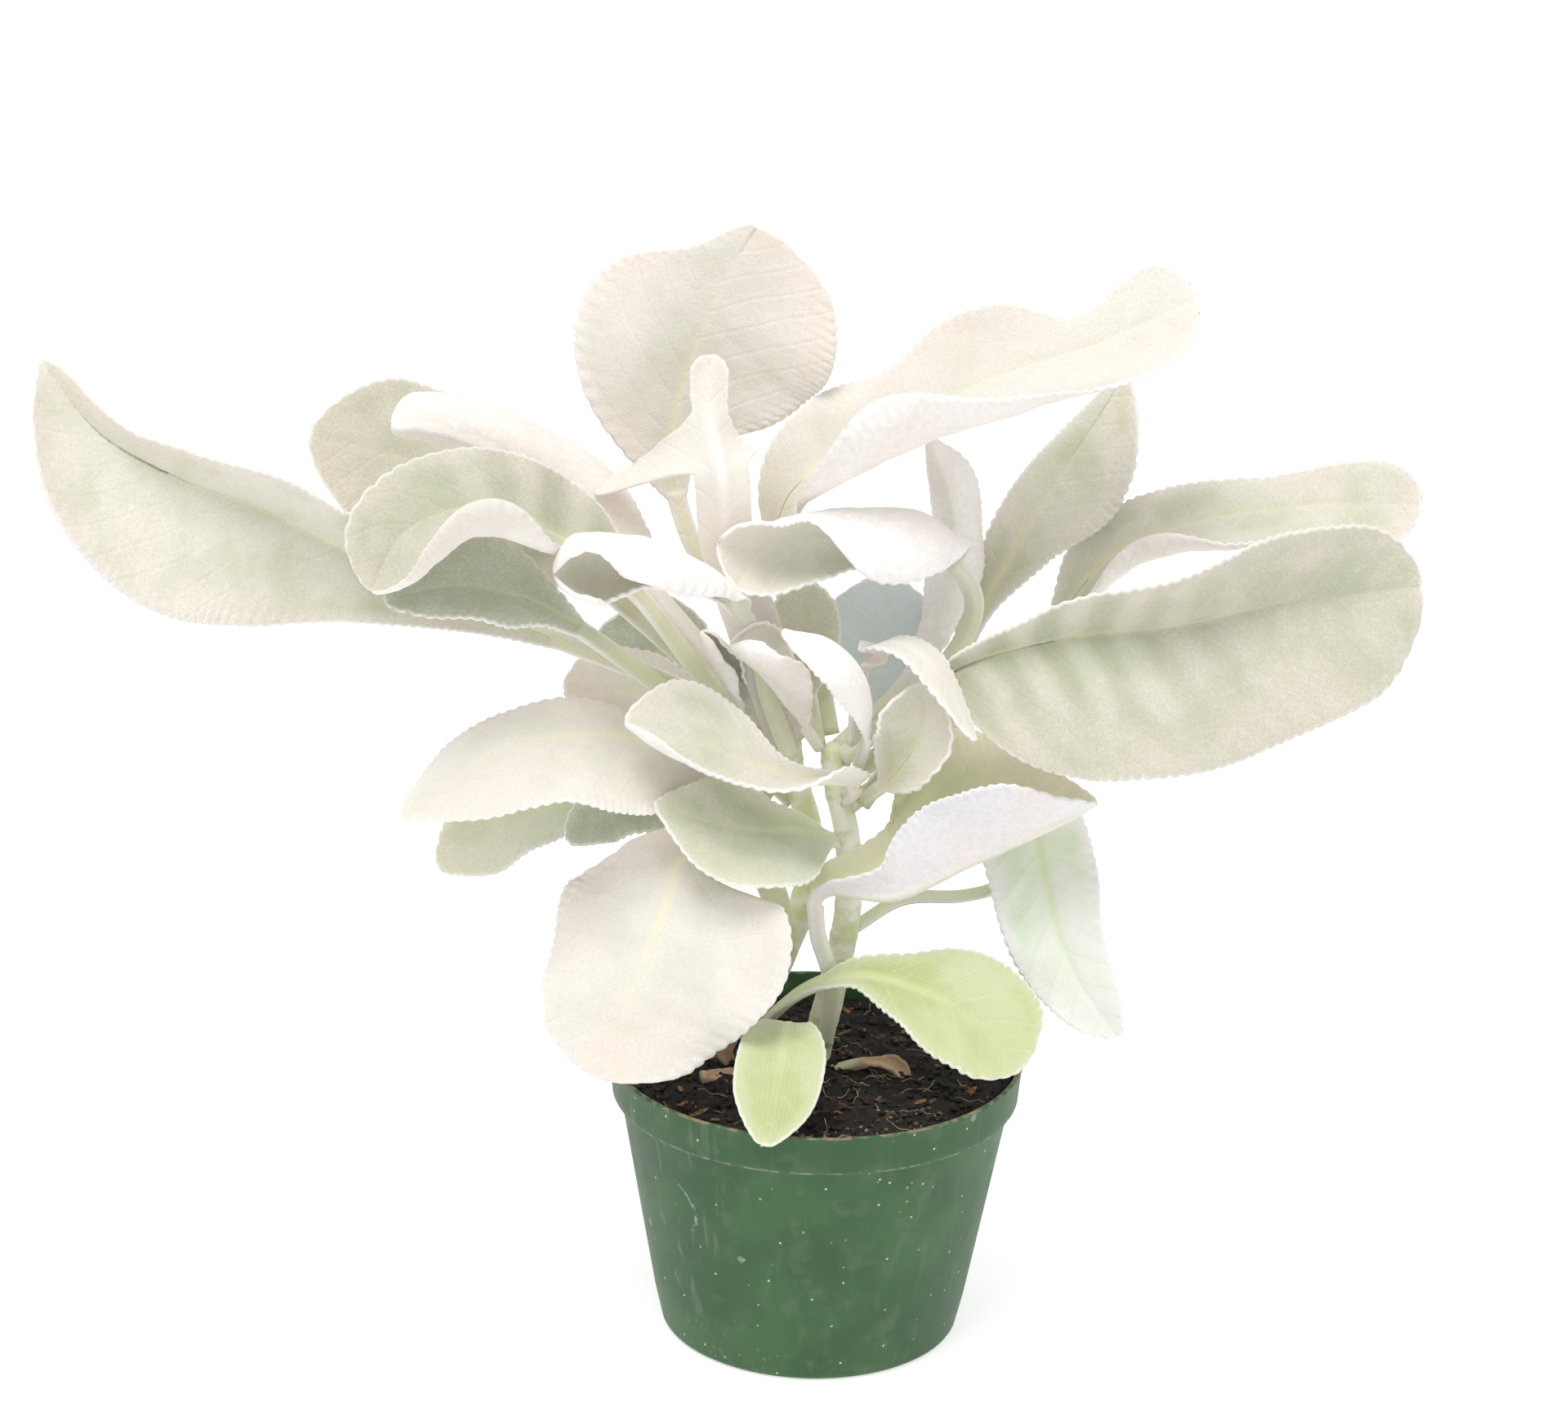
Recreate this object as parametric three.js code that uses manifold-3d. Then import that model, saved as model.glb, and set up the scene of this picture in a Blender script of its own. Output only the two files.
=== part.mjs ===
// Potted angel wings senecio: a bushy plant with broad felted leaves in a green plastic azalea pot.
// Millimetres, +Z up. The origin is the middle of the pot's base, on the surface it stands on.
import * as THREE from "three";
import Module from "manifold-3d";

const wasm = await Module();
wasm.setup();

// Pot
const RIM_RADIUS = 76.2;
const RIM_FOOT_RADIUS = 74.8;
const RIM_DEPTH = 14.5;
const POT_HEIGHT = 106.9;
const BODY_TOP_RADIUS = 71.8;
const BASE_RADIUS = 55.4;
const WALL = 1.6;
const FLOOR = 2.4;
const DRAIN_HOLES = 6;
const DRAIN_RADIUS = 5.5;
const DRAIN_RING = 43;
const POT_SIDES = 48;
const DRAIN_SIDES = 14;
const BAND_FOOT = POT_HEIGHT - RIM_DEPTH;

// Soil
const SOIL_TOP = 97.5;
const SOIL_SIDES = 48;
const SOIL_RINGS = [72.1, 66, 53, 40, 26, 12];
const CROWN_RISE = 2.2;
const CROWN_RADIUS = 66;
const LUMP_HEIGHT = 0.5;
const CALM_RADIUS = 69;
const CALM_SHARE = 0.3;
const FIT_GAP = 0.4;
const HOLE_GAP = 1.0;
const HOLE_FOOT = 58;
const HOLE_TOP = 112;
const HOLE_SIDES = 24;

// Stems
const STEM_ROWS = 15;
const STEM_SIDES = 12;
const SEAT_ROWS = 20;
const SEAT_SKIN = 0.2;
const SEAT_OVER = 2;

// Leaves
const BLADE_ROWS = 6;
const MARGIN_STEPS = 4;
const PETIOLE_ROWS = 3;
const BLADE_THICK = 1.7;
const MARGIN_THICK = 1.2;
const PETIOLE_THICK = 4.2;
const PETIOLE_HALF = 3.6;
const TOOTH = 1.7;
const TIP_HALF = 1.0;
const SEAT_GAP = 0.4;
const LEAF_GAP = 0.55;
const TIDY = 0.06;

// Leaf points are read on the upright plane through the pot's middle, from a fixed eye in front
// of the plant and a little above it: across, up, and the distance behind that plane.
const EYE_RISE = THREE.MathUtils.degToRad(19.8);
const EYE_REACH = 1700;
const EYE_AIM = new THREE.Vector3(-15, 0, 239);
const EYE = new THREE.Vector3(0, -Math.cos(EYE_RISE), Math.sin(EYE_RISE))
  .multiplyScalar(EYE_REACH)
  .add(EYE_AIM);

function place([across, up, back]) {
  const seen = new THREE.Vector3(across, 0, up);
  return EYE.clone().lerp(seen, (back - EYE.y) / -EYE.y);
}

// A smooth line through points, asked for a point at a share of its length
class Line {
  constructor(points, steps = 96) {
    this.points = points;
    this.samples = [];
    for (let i = 0; i <= steps; i += 1) {
      this.samples.push(this.at((i / steps) * (points.length - 1)));
    }
    this.lengths = [0];
    for (let i = 1; i <= steps; i += 1) {
      this.lengths.push(this.lengths[i - 1] + this.samples[i].distanceTo(this.samples[i - 1]));
    }
    this.length = this.lengths[steps];
  }

  at(t) {
    const last = this.points.length - 1;
    const i = Math.min(Math.floor(t), last - 1);
    const s = t - i;
    const p1 = this.points[i];
    const p2 = this.points[i + 1];
    const p0 = i > 0 ? this.points[i - 1] : p1.clone().multiplyScalar(2).sub(p2);
    const p3 = i + 2 <= last ? this.points[i + 2] : p2.clone().multiplyScalar(2).sub(p1);
    const v = new THREE.Vector3();
    v.addScaledVector(p0, -0.5 * s + s * s - 0.5 * s * s * s);
    v.addScaledVector(p1, 1 - 2.5 * s * s + 1.5 * s * s * s);
    v.addScaledVector(p2, 0.5 * s + 2 * s * s - 1.5 * s * s * s);
    v.addScaledVector(p3, -0.5 * s * s + 0.5 * s * s * s);
    return v;
  }

  point(share) {
    const want = THREE.MathUtils.clamp(share, 0, 1) * this.length;
    let i = 1;
    while (i < this.lengths.length - 1 && this.lengths[i] < want) i += 1;
    const span = this.lengths[i] - this.lengths[i - 1];
    const f = span > 0 ? (want - this.lengths[i - 1]) / span : 0;
    return this.samples[i - 1].clone().lerp(this.samples[i], f);
  }

  direction(share) {
    const a = this.point(Math.max(share - 0.02, 0));
    const b = this.point(Math.min(share + 0.02, 1));
    return b.sub(a).normalize();
  }
}

// Solids
function solid(positions, triangles) {
  return new wasm.Manifold(
    new wasm.Mesh({
      numProp: 3,
      vertProperties: new Float32Array(positions),
      triVerts: new Uint32Array(triangles),
    }),
  );
}

function geometryOf(body) {
  const mesh = body.getMesh();
  const step = mesh.numProp;
  const count = mesh.vertProperties.length / step;
  const xyz = new Float32Array(count * 3);
  for (let i = 0; i < count; i += 1) {
    xyz.set(mesh.vertProperties.subarray(i * step, i * step + 3), i * 3);
  }
  const geometry = new THREE.BufferGeometry();
  geometry.setAttribute("position", new THREE.BufferAttribute(xyz, 3));
  geometry.setIndex(new THREE.BufferAttribute(new Uint32Array(mesh.triVerts), 1));
  geometry.computeVertexNormals();
  return geometry;
}

function largest(body) {
  return body.decompose().reduce((a, b) => (b.volume() > a.volume() ? b : a));
}

// A closed profile of radius and height turned about the pot's axis
function turned(profile, sides, bump = () => 0) {
  const positions = [];
  const triangles = [];
  const inner = profile.slice(1, -1);
  positions.push(0, 0, profile[0][1]);
  inner.forEach(([r, z]) => {
    for (let k = 0; k < sides; k += 1) {
      const a = (2 * Math.PI * k) / sides;
      positions.push(r * Math.cos(a), r * Math.sin(a), z + bump(r, a, z));
    }
  });
  positions.push(0, 0, profile[profile.length - 1][1]);
  const end = positions.length / 3 - 1;
  for (let k = 0; k < sides; k += 1) {
    const n = (k + 1) % sides;
    triangles.push(0, 1 + n, 1 + k);
    for (let j = 0; j < inner.length - 1; j += 1) {
      const a = 1 + j * sides;
      const b = a + sides;
      triangles.push(a + k, a + n, b + n);
      triangles.push(a + k, b + n, b + k);
    }
    const a = 1 + (inner.length - 1) * sides;
    triangles.push(a + k, a + n, end);
  }
  return solid(positions, triangles);
}

// A round rod along a line, with a radius that changes along it
function rod(line, radius, rows, sides) {
  const positions = [];
  const triangles = [];
  let side = new THREE.Vector3(0, 1, 0);
  for (let i = 0; i <= rows; i += 1) {
    const share = i / rows;
    const middle = line.point(share);
    const along = line.direction(share);
    side = side.clone().addScaledVector(along, -side.dot(along)).normalize();
    const other = along.clone().cross(side);
    for (let k = 0; k < sides; k += 1) {
      const a = (2 * Math.PI * k) / sides;
      const p = middle.clone();
      p.addScaledVector(side, radius(share) * Math.cos(a));
      p.addScaledVector(other, radius(share) * Math.sin(a));
      positions.push(p.x, p.y, p.z);
    }
  }
  for (let k = 1; k < sides - 1; k += 1) {
    triangles.push(0, k + 1, k);
    triangles.push(rows * sides, rows * sides + k, rows * sides + k + 1);
  }
  for (let i = 0; i < rows; i += 1) {
    for (let k = 0; k < sides; k += 1) {
      const n = (k + 1) % sides;
      const a = i * sides;
      const b = a + sides;
      triangles.push(a + k, a + n, b + n);
      triangles.push(a + k, b + n, b + k);
    }
  }
  return solid(positions, triangles);
}

// Values at equal steps along a blade, from its foot to its tip, joined smoothly
function spread(values, s) {
  const last = values.length - 1;
  const t = THREE.MathUtils.clamp(s, 0, 1) * last;
  const i = Math.min(Math.floor(t), last - 1);
  const f = t - i;
  const b = values[i];
  const c = values[i + 1];
  const a = i > 0 ? values[i - 1] : 2 * b - c;
  const d = i + 2 <= last ? values[i + 2] : 2 * c - b;
  return b + 0.5 * f * (c - a + f * (2 * a - 5 * b + 4 * c - d + f * (3 * (b - c) + d - a)));
}

// The last part of a blade is drawn in to a round tip
function roundTip(s, from) {
  return s <= from ? 1 : Math.sqrt(Math.max(0, 1 - ((s - from) / (1 - from)) ** 2));
}

// One leaf: a stalk that widens into a blade with a toothed margin, folded, rolled and waved
class Leaf {
  constructor(spec) {
    this.spec = {
      tip: 0.75,
      fold: [12, 8, 4],
      curlLeft: [0, 0],
      curlRight: [0, 0],
      turn: 2,
      rows: BLADE_ROWS,
      wave: 10,
      waves: 2.5,
      columns: 2,
      stalk: PETIOLE_HALF,
      teeth: TOOTH,
      grow: 0,
      ...spec,
    };
    this.line = new Line(spec.line.map(place));
    this.faces = spec.face.map(([x, y, z]) => new THREE.Vector3(x, y, z).normalize());
  }

  // Middle, face direction and right-hand direction at a share of the line
  frame(share) {
    const { start } = this.spec;
    const s = (share - start) / (1 - start);
    const face = new THREE.Vector3(
      spread(this.faces.map((f) => f.x), s),
      spread(this.faces.map((f) => f.y), s),
      spread(this.faces.map((f) => f.z), s),
    );
    const t = this.line.direction(share);
    face.addScaledVector(t, -face.dot(t)).normalize();
    const middle = this.line.point(share);
    if (share <= 0) middle.addScaledVector(t, -this.spec.grow);
    if (share >= 1) middle.addScaledVector(t, this.spec.grow);
    return { middle, face, right: t.clone().cross(face) };
  }

  halfWidth(share, side) {
    const { start, left, right, stalk, tip, grow } = this.spec;
    const s = (share - start) / (1 - start);
    if (s <= 0) return stalk + grow;
    const half = spread([stalk, ...(side < 0 ? left : right)], s);
    return Math.max(half * roundTip(s, tip), TIP_HALF) + grow;
  }

  // A point of the cross-section: side -1 left or 1 right, v from the midrib to the margin
  section(share, side, v, trim = 0) {
    const { start, fold, curlLeft, curlRight, turn, wave, waves } = this.spec;
    const bend = this.spec[side < 0 ? "foldLeft" : "foldRight"] ?? fold;
    const s = (share - start) / (1 - start);
    const { middle, face, right } = this.frame(share);
    const width = this.halfWidth(share, side) - trim;
    const ripple = s > 0 ? wave * Math.sin(2 * Math.PI * waves * s + side) : 0;
    const base = THREE.MathUtils.degToRad(spread(bend, s));
    const curl = THREE.MathUtils.degToRad(spread(side < 0 ? curlLeft : curlRight, s) + ripple);
    const ease = s < 0 ? 0 : Math.min(1, s / 0.15);
    let out = 0;
    let up = 0;
    const steps = 12;
    for (let i = 0; i < steps; i += 1) {
      const m = (v * (i + 0.5)) / steps;
      const angle = base + ease * curl * m ** turn;
      out += (Math.cos(angle) * width * v) / steps;
      up += (Math.sin(angle) * width * v) / steps;
    }
    const end = base + ease * curl * v ** turn;
    const normal = face.clone().multiplyScalar(Math.cos(end));
    normal.addScaledVector(right, -side * Math.sin(end));
    const at = middle.clone().addScaledVector(right, side * out).addScaledVector(face, up);
    const stem = THREE.MathUtils.clamp(1 - s / 0.35, 0, 1);
    const body = BLADE_THICK + (PETIOLE_THICK - BLADE_THICK) * stem * (1 - 0.75 * v);
    const thick = s < -0.01 ? PETIOLE_THICK : body * (1 - v) + Math.max(MARGIN_THICK, body * 0.7) * v;
    return { at, normal, thick: thick + 2 * this.spec.grow };
  }

  build() {
    const { start, columns, teeth, rows: bladeRows } = this.spec;
    const rows = [];
    for (let i = 0; i < PETIOLE_ROWS; i += 1) rows.push((start * i) / PETIOLE_ROWS);
    for (let i = 0; i <= bladeRows; i += 1) {
      const s = i / bladeRows;
      rows.push(start + (1 - start) * (s * (1.25 - 0.25 * s)));
    }
    const top = [];
    const low = [];
    const add = ({ at, normal, thick }) => {
      top.push(at.clone().addScaledVector(normal, thick / 2));
      low.push(at.clone().addScaledVector(normal, -thick / 2));
      return top.length - 1;
    };
    const middle = rows.map((share) => {
      const { middle: at, face } = this.frame(share);
      return add({ at, normal: face, thick: this.section(share, 1, 0).thick });
    });
    const faces = [];
    const edges = { "-1": [], 1: [] };
    [-1, 1].forEach((side) => {
      const inner = [middle];
      for (let j = 1; j < columns; j += 1) {
        inner.push(rows.map((share) => add(this.section(share, side, j / columns))));
      }
      const margin = [];
      rows.forEach((share, i) => {
        const fine = i >= PETIOLE_ROWS ? MARGIN_STEPS : 1;
        const group = [];
        const count = i === rows.length - 1 ? 1 : fine;
        for (let k = 0; k < count; k += 1) {
          const next = i === rows.length - 1 ? share : rows[i + 1];
          const at = share + ((next - share) * k) / fine;
          const cut = fine > 1 && k % 2 === 1 ? teeth : 0;
          group.push(add(this.section(at, side, 1, Math.min(cut, this.halfWidth(at, side) * 0.3))));
        }
        margin.push(group);
      });
      const put = (a, b, c) => faces.push(side > 0 ? [a, b, c] : [a, c, b]);
      for (let i = 0; i < rows.length - 1; i += 1) {
        for (let j = 0; j < columns - 1; j += 1) {
          const a = inner[j][i];
          const b = inner[j + 1][i];
          const c = inner[j + 1][i + 1];
          const d = inner[j][i + 1];
          put(a, b, c);
          put(a, c, d);
        }
        const near = inner[columns - 1][i];
        const far = inner[columns - 1][i + 1];
        const chain = [...margin[i], margin[i + 1][0]];
        const turn = Math.ceil((chain.length - 1) / 2);
        for (let k = 0; k < chain.length - 1; k += 1) {
          if (k === turn) put(near, chain[k], far);
          put(k < turn ? near : far, chain[k], chain[k + 1]);
        }
        if (turn >= chain.length - 1) put(near, chain[chain.length - 1], far);
      }
      edges[side] = margin.flat();
      edges[`${side}first`] = inner.map((column) => column[0]);
      edges[`${side}last`] = inner.map((column) => column[rows.length - 1]);
    });
    const rim = [
      ...edges[1],
      ...edges["1last"].slice().reverse(),
      ...edges["-1last"].slice(1),
      ...edges[-1].slice().reverse(),
      ...edges["-1first"].slice().reverse(),
      ...edges["1first"].slice(1),
    ];
    const size = top.length;
    const triangles = [];
    faces.forEach(([a, b, c]) => {
      triangles.push(a, b, c);
      triangles.push(a + size, c + size, b + size);
    });
    rim.forEach((a, i) => {
      const b = rim[(i + 1) % rim.length];
      triangles.push(a, a + size, b + size);
      triangles.push(a, b + size, b);
    });
    const positions = [];
    [...top, ...low].forEach((p) => positions.push(p.x, p.y, p.z));
    return solid(positions, triangles);
  }
}

// Stems in x, y, z: where they leave the soil, and where their tops end
const STEMS = {
  stem_right: {
    points: [
      [0, 12, 60], [0, 12, 92], [0.5, 12, 104], [5, 12, 126], [10, 13, 156], [9.5, 15, 184],
      [4.5, 17, 206], [2.5, 18, 222],
    ],
    radius: [6.0, 4.2],
  },
  stem_left: {
    points: [
      [-27, 31, 60], [-27, 31, 92], [-26, 31, 104], [-13.5, 30, 132], [-4.5, 28, 162],
      [-5, 27, 186], [-11, 27, 206], [-13, 29, 222],
    ],
    radius: [6.2, 4.2],
  },
};

// Colours
const POT_GREEN = 0x4f7a5c;
const SOIL_BROWN = 0x2c2119;
const STEM_GREEN = 0xa9b07c;
const FELT = 0xd9d8c9;
const WHITE = 0xeceae2;
const SAGE = 0xb9bfa6;
const MIST = 0xb4bcbc;
const OLIVE = 0x8f9468;
const GREEN = 0x9db45c;
const DRY_TAN = 0x94703f;
const DRY_PALE = 0xb9a58a;
const WOOD_TAN = 0xb08a5a;

// Leaves from the top of the plant down. The half widths run from the foot of the blade to its tip,
// left and right as seen along the leaf with its upper face up.
const LEAVES = {
  leaf_top_round: {
    colour: FELT,
    line: [
      [-13, 230, 36], [-28, 268, 46], [-50, 304, 54], [-57, 338, 54], [-51, 370, 50],
      [-41, 396, 44], [-29, 418, 38],
    ],
    start: 0.46,
    face: [[0.1, -0.9, 0.3], [0, -0.92, 0.35], [0, -0.9, 0.4], [0, -0.95, 0.1]],
    left: [18, 36, 44, 38, 15, 6],
    right: [12, 34, 46, 50, 44, 28],
    tip: 0.88,
    fold: [14, 8, 0, -6],
    curlLeft: [0, 4, 0, -10, -10],
    curlRight: [0, 6, 0, 0, 0],
    waves: 1.5,
    rows: 7,
  },
  leaf_top_young: {
    colour: WHITE,
    line: [
      [-11, 228, 20], [-24, 264, 12], [-36, 300, 6], [-39, 326, 4], [-42, 340, 10], [-44, 354, 18],
      [-44, 371, 22],
    ],
    start: 0.73,
    face: [[0, -0.9, 0.4], [0, -0.32, 0.95], [0, -0.5, 0.85], [0, -0.9, 0.3]],
    left: [50, 34, 9, 7, 7, 7],
    right: [17, 15, 8, 7, 7, 7],
    fold: [-14, -42, -10, 20],
    stalk: 10,
    teeth: 0.6,
    tip: 0.86,
    wave: 2,
  },
  leaf_top_right: {
    colour: FELT,
    line: [
      [2, 231, 28], [-4, 258, 38], [-17, 288, 38], [-18, 312, 34], [-4, 332, 28], [28, 351, 22],
      [60, 367, 16], [94, 380, 10], [125, 396, 4],
    ],
    start: 0.3,
    face: [[-0.3, -0.8, 0.5], [-0.2, -0.6, 0.78], [-0.1, -0.7, 0.7], [-0.1, -0.85, 0.5]],
    left: [18, 24, 23, 29, 26, 13, 18, 25],
    right: [18, 44, 60, 60, 50, 36, 26, 18],
    tip: 0.87,
    foldLeft: [16, 10, 6, 0],
    foldRight: [16, 14, 14, 8],
    curlLeft: [0, 0, 0, 0, 20, 0, 0],
    curlRight: [20, 90, 116, 112, 90, 40, 10],
    turn: 1.5,
    columns: 3,
    rows: 7,
  },
  leaf_centre_roll: {
    colour: WHITE,
    line: [
      [6, 222, 15], [32, 246, 28], [49, 270, 34], [50, 288, 32], [33, 303, 26], [8, 305, 18],
      [-18, 301, 11], [-40, 301, 0],
    ],
    start: 0.5,
    face: [[-0.1, -0.98, 0.15], [0, -1, 0.05], [-0.1, -1, 0], [-0.3, -0.9, 0.1]],
    left: [8, 10, 13, 18, 21, 16],
    right: [38, 56, 50, 28, 22, 17],
    tip: 0.9,
    fold: [0, 0, 0, 0],
    curlLeft: [0, 0, 30, 70, 90, 90, 60],
    curlRight: [150, 190, 220, 195, 110, 90, 70],
    turn: 1,
    columns: 4,
    wave: 3,
    rows: 7,
    teeth: 0.9,
  },
  leaf_left_back: {
    colour: FELT,
    line: [[-14, 221, 28], [-50, 257, 46], [-95, 296, 52], [-134, 325, 52], [-184, 338, 46]],
    start: 0.4,
    face: [[0.3, -0.75, 0.6], [0.3, -0.75, 0.6], [0.2, -0.8, 0.5]],
    left: [16, 26, 32, 32, 22],
    right: [14, 24, 28, 29, 22],
    fold: [12, 6, 0],
  },
  leaf_left_finger: {
    colour: WHITE,
    line: [
      [-19, 232, 28], [-46, 264, 26], [-70, 292, 24], [-92, 314, 20], [-120, 333, 12],
      [-143, 341, 6], [-155, 341, 4],
    ],
    start: 0.38,
    face: [[0.1, 0.9, 0.2], [0.1, 0.9, 0.2], [0, 0.9, 0.2]],
    left: [20, 28, 29, 26, 22],
    right: [20, 28, 29, 26, 22],
    curlLeft: [40, 110, 140, 150],
    curlRight: [40, 110, 140, 150],
    fold: [10, 10, 10],
    tip: 0.92,
    turn: 1,
    columns: 3,
    wave: 4,
  },
  leaf_far_left: {
    colour: FELT,
    line: [
      [-19, 222, 22], [-50, 246, 16], [-95, 264, 8], [-150, 285, 0], [-200, 310, -8],
      [-230, 321, -12], [-258, 337, -14], [-278, 363, -14],
    ],
    start: 0.3,
    face: [[0.2, -0.9, 0.2], [0.15, -0.97, 0.2], [0.4, -0.85, 0.2], [0.6, -0.7, 0.3]],
    left: [10, 22, 41, 47, 34, 9],
    right: [14, 24, 28, 22, 11, 5],
    tip: 0.94,
    foldLeft: [10, 4, 0, 0, 6],
    foldRight: [24, 40, 58, 60, 46],
    curlLeft: [0, 0, 4, 10, 20],
    curlRight: [0, 10, 10, 10, 0],
    columns: 3,
  },
  leaf_left_scalloped: {
    colour: FELT,
    line: [
      [-18, 212, 16], [-44, 250, 4], [-72, 286, 0], [-100, 305, -8], [-128, 313, -18],
      [-151, 303, -26], [-163, 281, -32],
    ],
    start: 0.46,
    face: [[0.2, -0.75, 0.6], [0.1, -0.75, 0.65], [0.1, -0.8, 0.5]],
    left: [12, 30, 42, 40, 18],
    right: [18, 22, 22, 20, 12],
    tip: 0.86,
    foldLeft: [20, 20, 20, 20],
    foldRight: [10, 8, 6],
    curlLeft: [20, 100, 125, 90],
    curlRight: [10, 0, -10],
    turn: 1.5,
    columns: 3,
    rows: 7,
  },
  leaf_left_under: {
    colour: OLIVE,
    line: [
      [-19, 208, 22], [-44, 234, 8], [-74, 258, -2], [-104, 277, -10], [-132, 283, -18],
      [-158, 277, -22],
    ],
    start: 0.58,
    face: [[0.1, -0.7, 0.7], [0, -0.7, 0.7], [0, -0.7, 0.7]],
    left: [8, 14, 14, 12, 8],
    right: [10, 18, 20, 16, 10],
    fold: [14, 10, 6],
  },
  leaf_left_scroll: {
    colour: WHITE,
    line: [
      [-12, 222, 12], [-21, 246, 12], [-25, 264, 8], [-36, 281, -1], [-60, 291, -12],
      [-84, 293, -19], [-98, 289, -26],
    ],
    start: 0.44,
    face: [[-0.1, -0.95, 0.2], [0, -1, 0.1], [0, -1, 0.05], [-0.2, -1, 0]],
    left: [4, 8, 14, 24, 24],
    right: [16, 30, 40, 40, 28],
    tip: 0.88,
    fold: [0, 0, 0],
    curlLeft: [80, 120, 135, 120],
    curlRight: [120, 175, 175, 120],
    turn: 1,
    columns: 4,
    wave: 3,
    teeth: 0.9,
  },
  leaf_right_narrow: {
    colour: WHITE,
    line: [[5, 226, 21], [29, 252, 36], [42, 284, 40], [43, 316, 42], [34, 342, 42]],
    start: 0.35,
    face: [[0.2, 0.9, 0.2], [0.1, 0.9, 0.2], [0, 0.9, 0.3]],
    left: [11, 18, 18, 15, 9],
    right: [11, 18, 18, 15, 9],
    fold: [16, 14, 10],
    curlLeft: [40, 90, 90],
    curlRight: [40, 90, 90],
    turn: 1,
    wave: 4,
    rows: 6,
  },
  leaf_right_back: {
    colour: FELT,
    line: [[7, 211, 18], [37, 243, 42], [56, 282, 50], [74, 320, 54], [90, 348, 54], [101, 368, 52]],
    start: 0.34,
    face: [[-0.4, -0.85, 0.25], [-0.4, -0.85, 0.25], [-0.3, -0.9, 0.2]],
    left: [9, 13, 12, 8, 5],
    right: [5, 15, 26, 24, 13],
    fold: [16, 10, 6],
  },
  leaf_right_wavy: {
    colour: FELT,
    line: [
      [9, 203, 17], [48, 237, 34], [80, 274, 40], [102, 303, 38], [136, 316, 34], [174, 322, 28],
      [208, 323, 22],
    ],
    start: 0.4,
    face: [[-0.2, -0.6, 0.75], [0, -0.55, 0.8], [0, -0.8, 0.5]],
    left: [14, 18, 16, 14, 16, 18],
    right: [20, 30, 32, 28, 24, 16],
    tip: 0.88,
    fold: [14, 10, 4],
    curlLeft: [0, -10, 10],
    curlRight: [110, 120, 60, 0],
    columns: 3,
    wave: 12,
    waves: 3,
  },
  leaf_right_broad: {
    colour: FELT,
    line: [
      [14, 205, 13], [30, 230, 10], [46, 256, -2], [84, 270, -14], [122, 275, -20], [166, 286, -20],
      [210, 293, -16],
    ],
    start: 0.22,
    face: [[-0.2, -0.8, 0.5], [-0.05, -0.88, 0.45], [0, -0.9, 0.4]],
    left: [10, 20, 30, 34, 30, 22],
    right: [38, 53, 54, 49, 42, 28],
    tip: 0.88,
    foldLeft: [50, 62, 62, 50, 20],
    foldRight: [10, 10, 8, 4],
    curlLeft: [0, 10, 10, 0],
    curlRight: [0, -14, -10],
    columns: 3,
  },
  leaf_heart_green: {
    colour: SAGE,
    line: [[-2, 226, 22], [-6, 248, 27], [-8, 270, 27], [-10, 290, 24]],
    start: 0.3,
    face: [[0, -0.9, 0.3], [0, -0.9, 0.3], [0, -0.8, 0.5]],
    left: [10, 13, 12, 8],
    right: [10, 13, 12, 8],
    fold: [10, 8, 6],
    stalk: 2.6,
    rows: 5,
  },
  leaf_heart_small: {
    colour: WHITE,
    line: [[-20, 230, 25], [-32, 243, 19], [-40, 257, 14], [-45, 269, 10]],
    start: 0.25,
    face: [[0.2, -0.6, 0.7], [0.2, -0.6, 0.7], [0.2, -0.6, 0.7]],
    left: [8, 12, 12, 9],
    right: [8, 12, 12, 9],
    fold: [20, 20, 20],
    curlLeft: [60, 120, 110],
    curlRight: [60, 120, 110],
    turn: 1,
    stalk: 2.6,
    rows: 5,
  },
  leaf_heart_mouth: {
    colour: WHITE,
    line: [[-2, 226, 12], [-12, 240, 4], [-22, 253, -2], [-35, 264, -4]],
    start: 0.2,
    face: [[0.2, -0.1, 0.95], [0.1, -0.1, 0.95], [0.2, -0.2, 0.95]],
    left: [10, 17, 20, 16],
    right: [10, 16, 18, 15],
    fold: [20, 14, 14],
    curlLeft: [50, 80, 80],
    curlRight: [50, 80, 80],
    tip: 0.85,
    turn: 1,
    stalk: 2.8,
    rows: 5,
  },
  leaf_heart_white: {
    colour: WHITE,
    line: [[12, 218, 6], [16, 236, -8], [12, 254, -20], [0, 266, -28], [-16, 270, -32]],
    start: 0.2,
    face: [[-0.9, 0, 0], [-0.9, -0.1, -0.3], [-0.5, -0.1, -0.9]],
    left: [9, 14, 14, 10],
    right: [9, 14, 14, 10],
    fold: [20, 20, 20],
    curlLeft: [40, 80, 70],
    curlRight: [40, 80, 70],
    turn: 1,
    stalk: 2.8,
    rows: 5,
  },
  leaf_heart_arched: {
    colour: WHITE,
    line: [[10, 228, 18], [12, 252, 10], [20, 266, 0], [36, 259, -12], [54, 230, -26]],
    start: 0.3,
    face: [[0.4, -0.5, 0.7], [0.4, -0.3, 0.9], [0.7, -0.3, 0.6]],
    left: [8, 10, 8, 5],
    right: [8, 10, 8, 5],
    fold: [6, 0, -4],
    stalk: 2.8,
    rows: 5,
  },
  leaf_heart_brown: {
    colour: FELT,
    line: [[14, 206, 8], [26, 217, 0], [34, 232, -4], [35, 252, -4]],
    start: 0.2,
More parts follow.
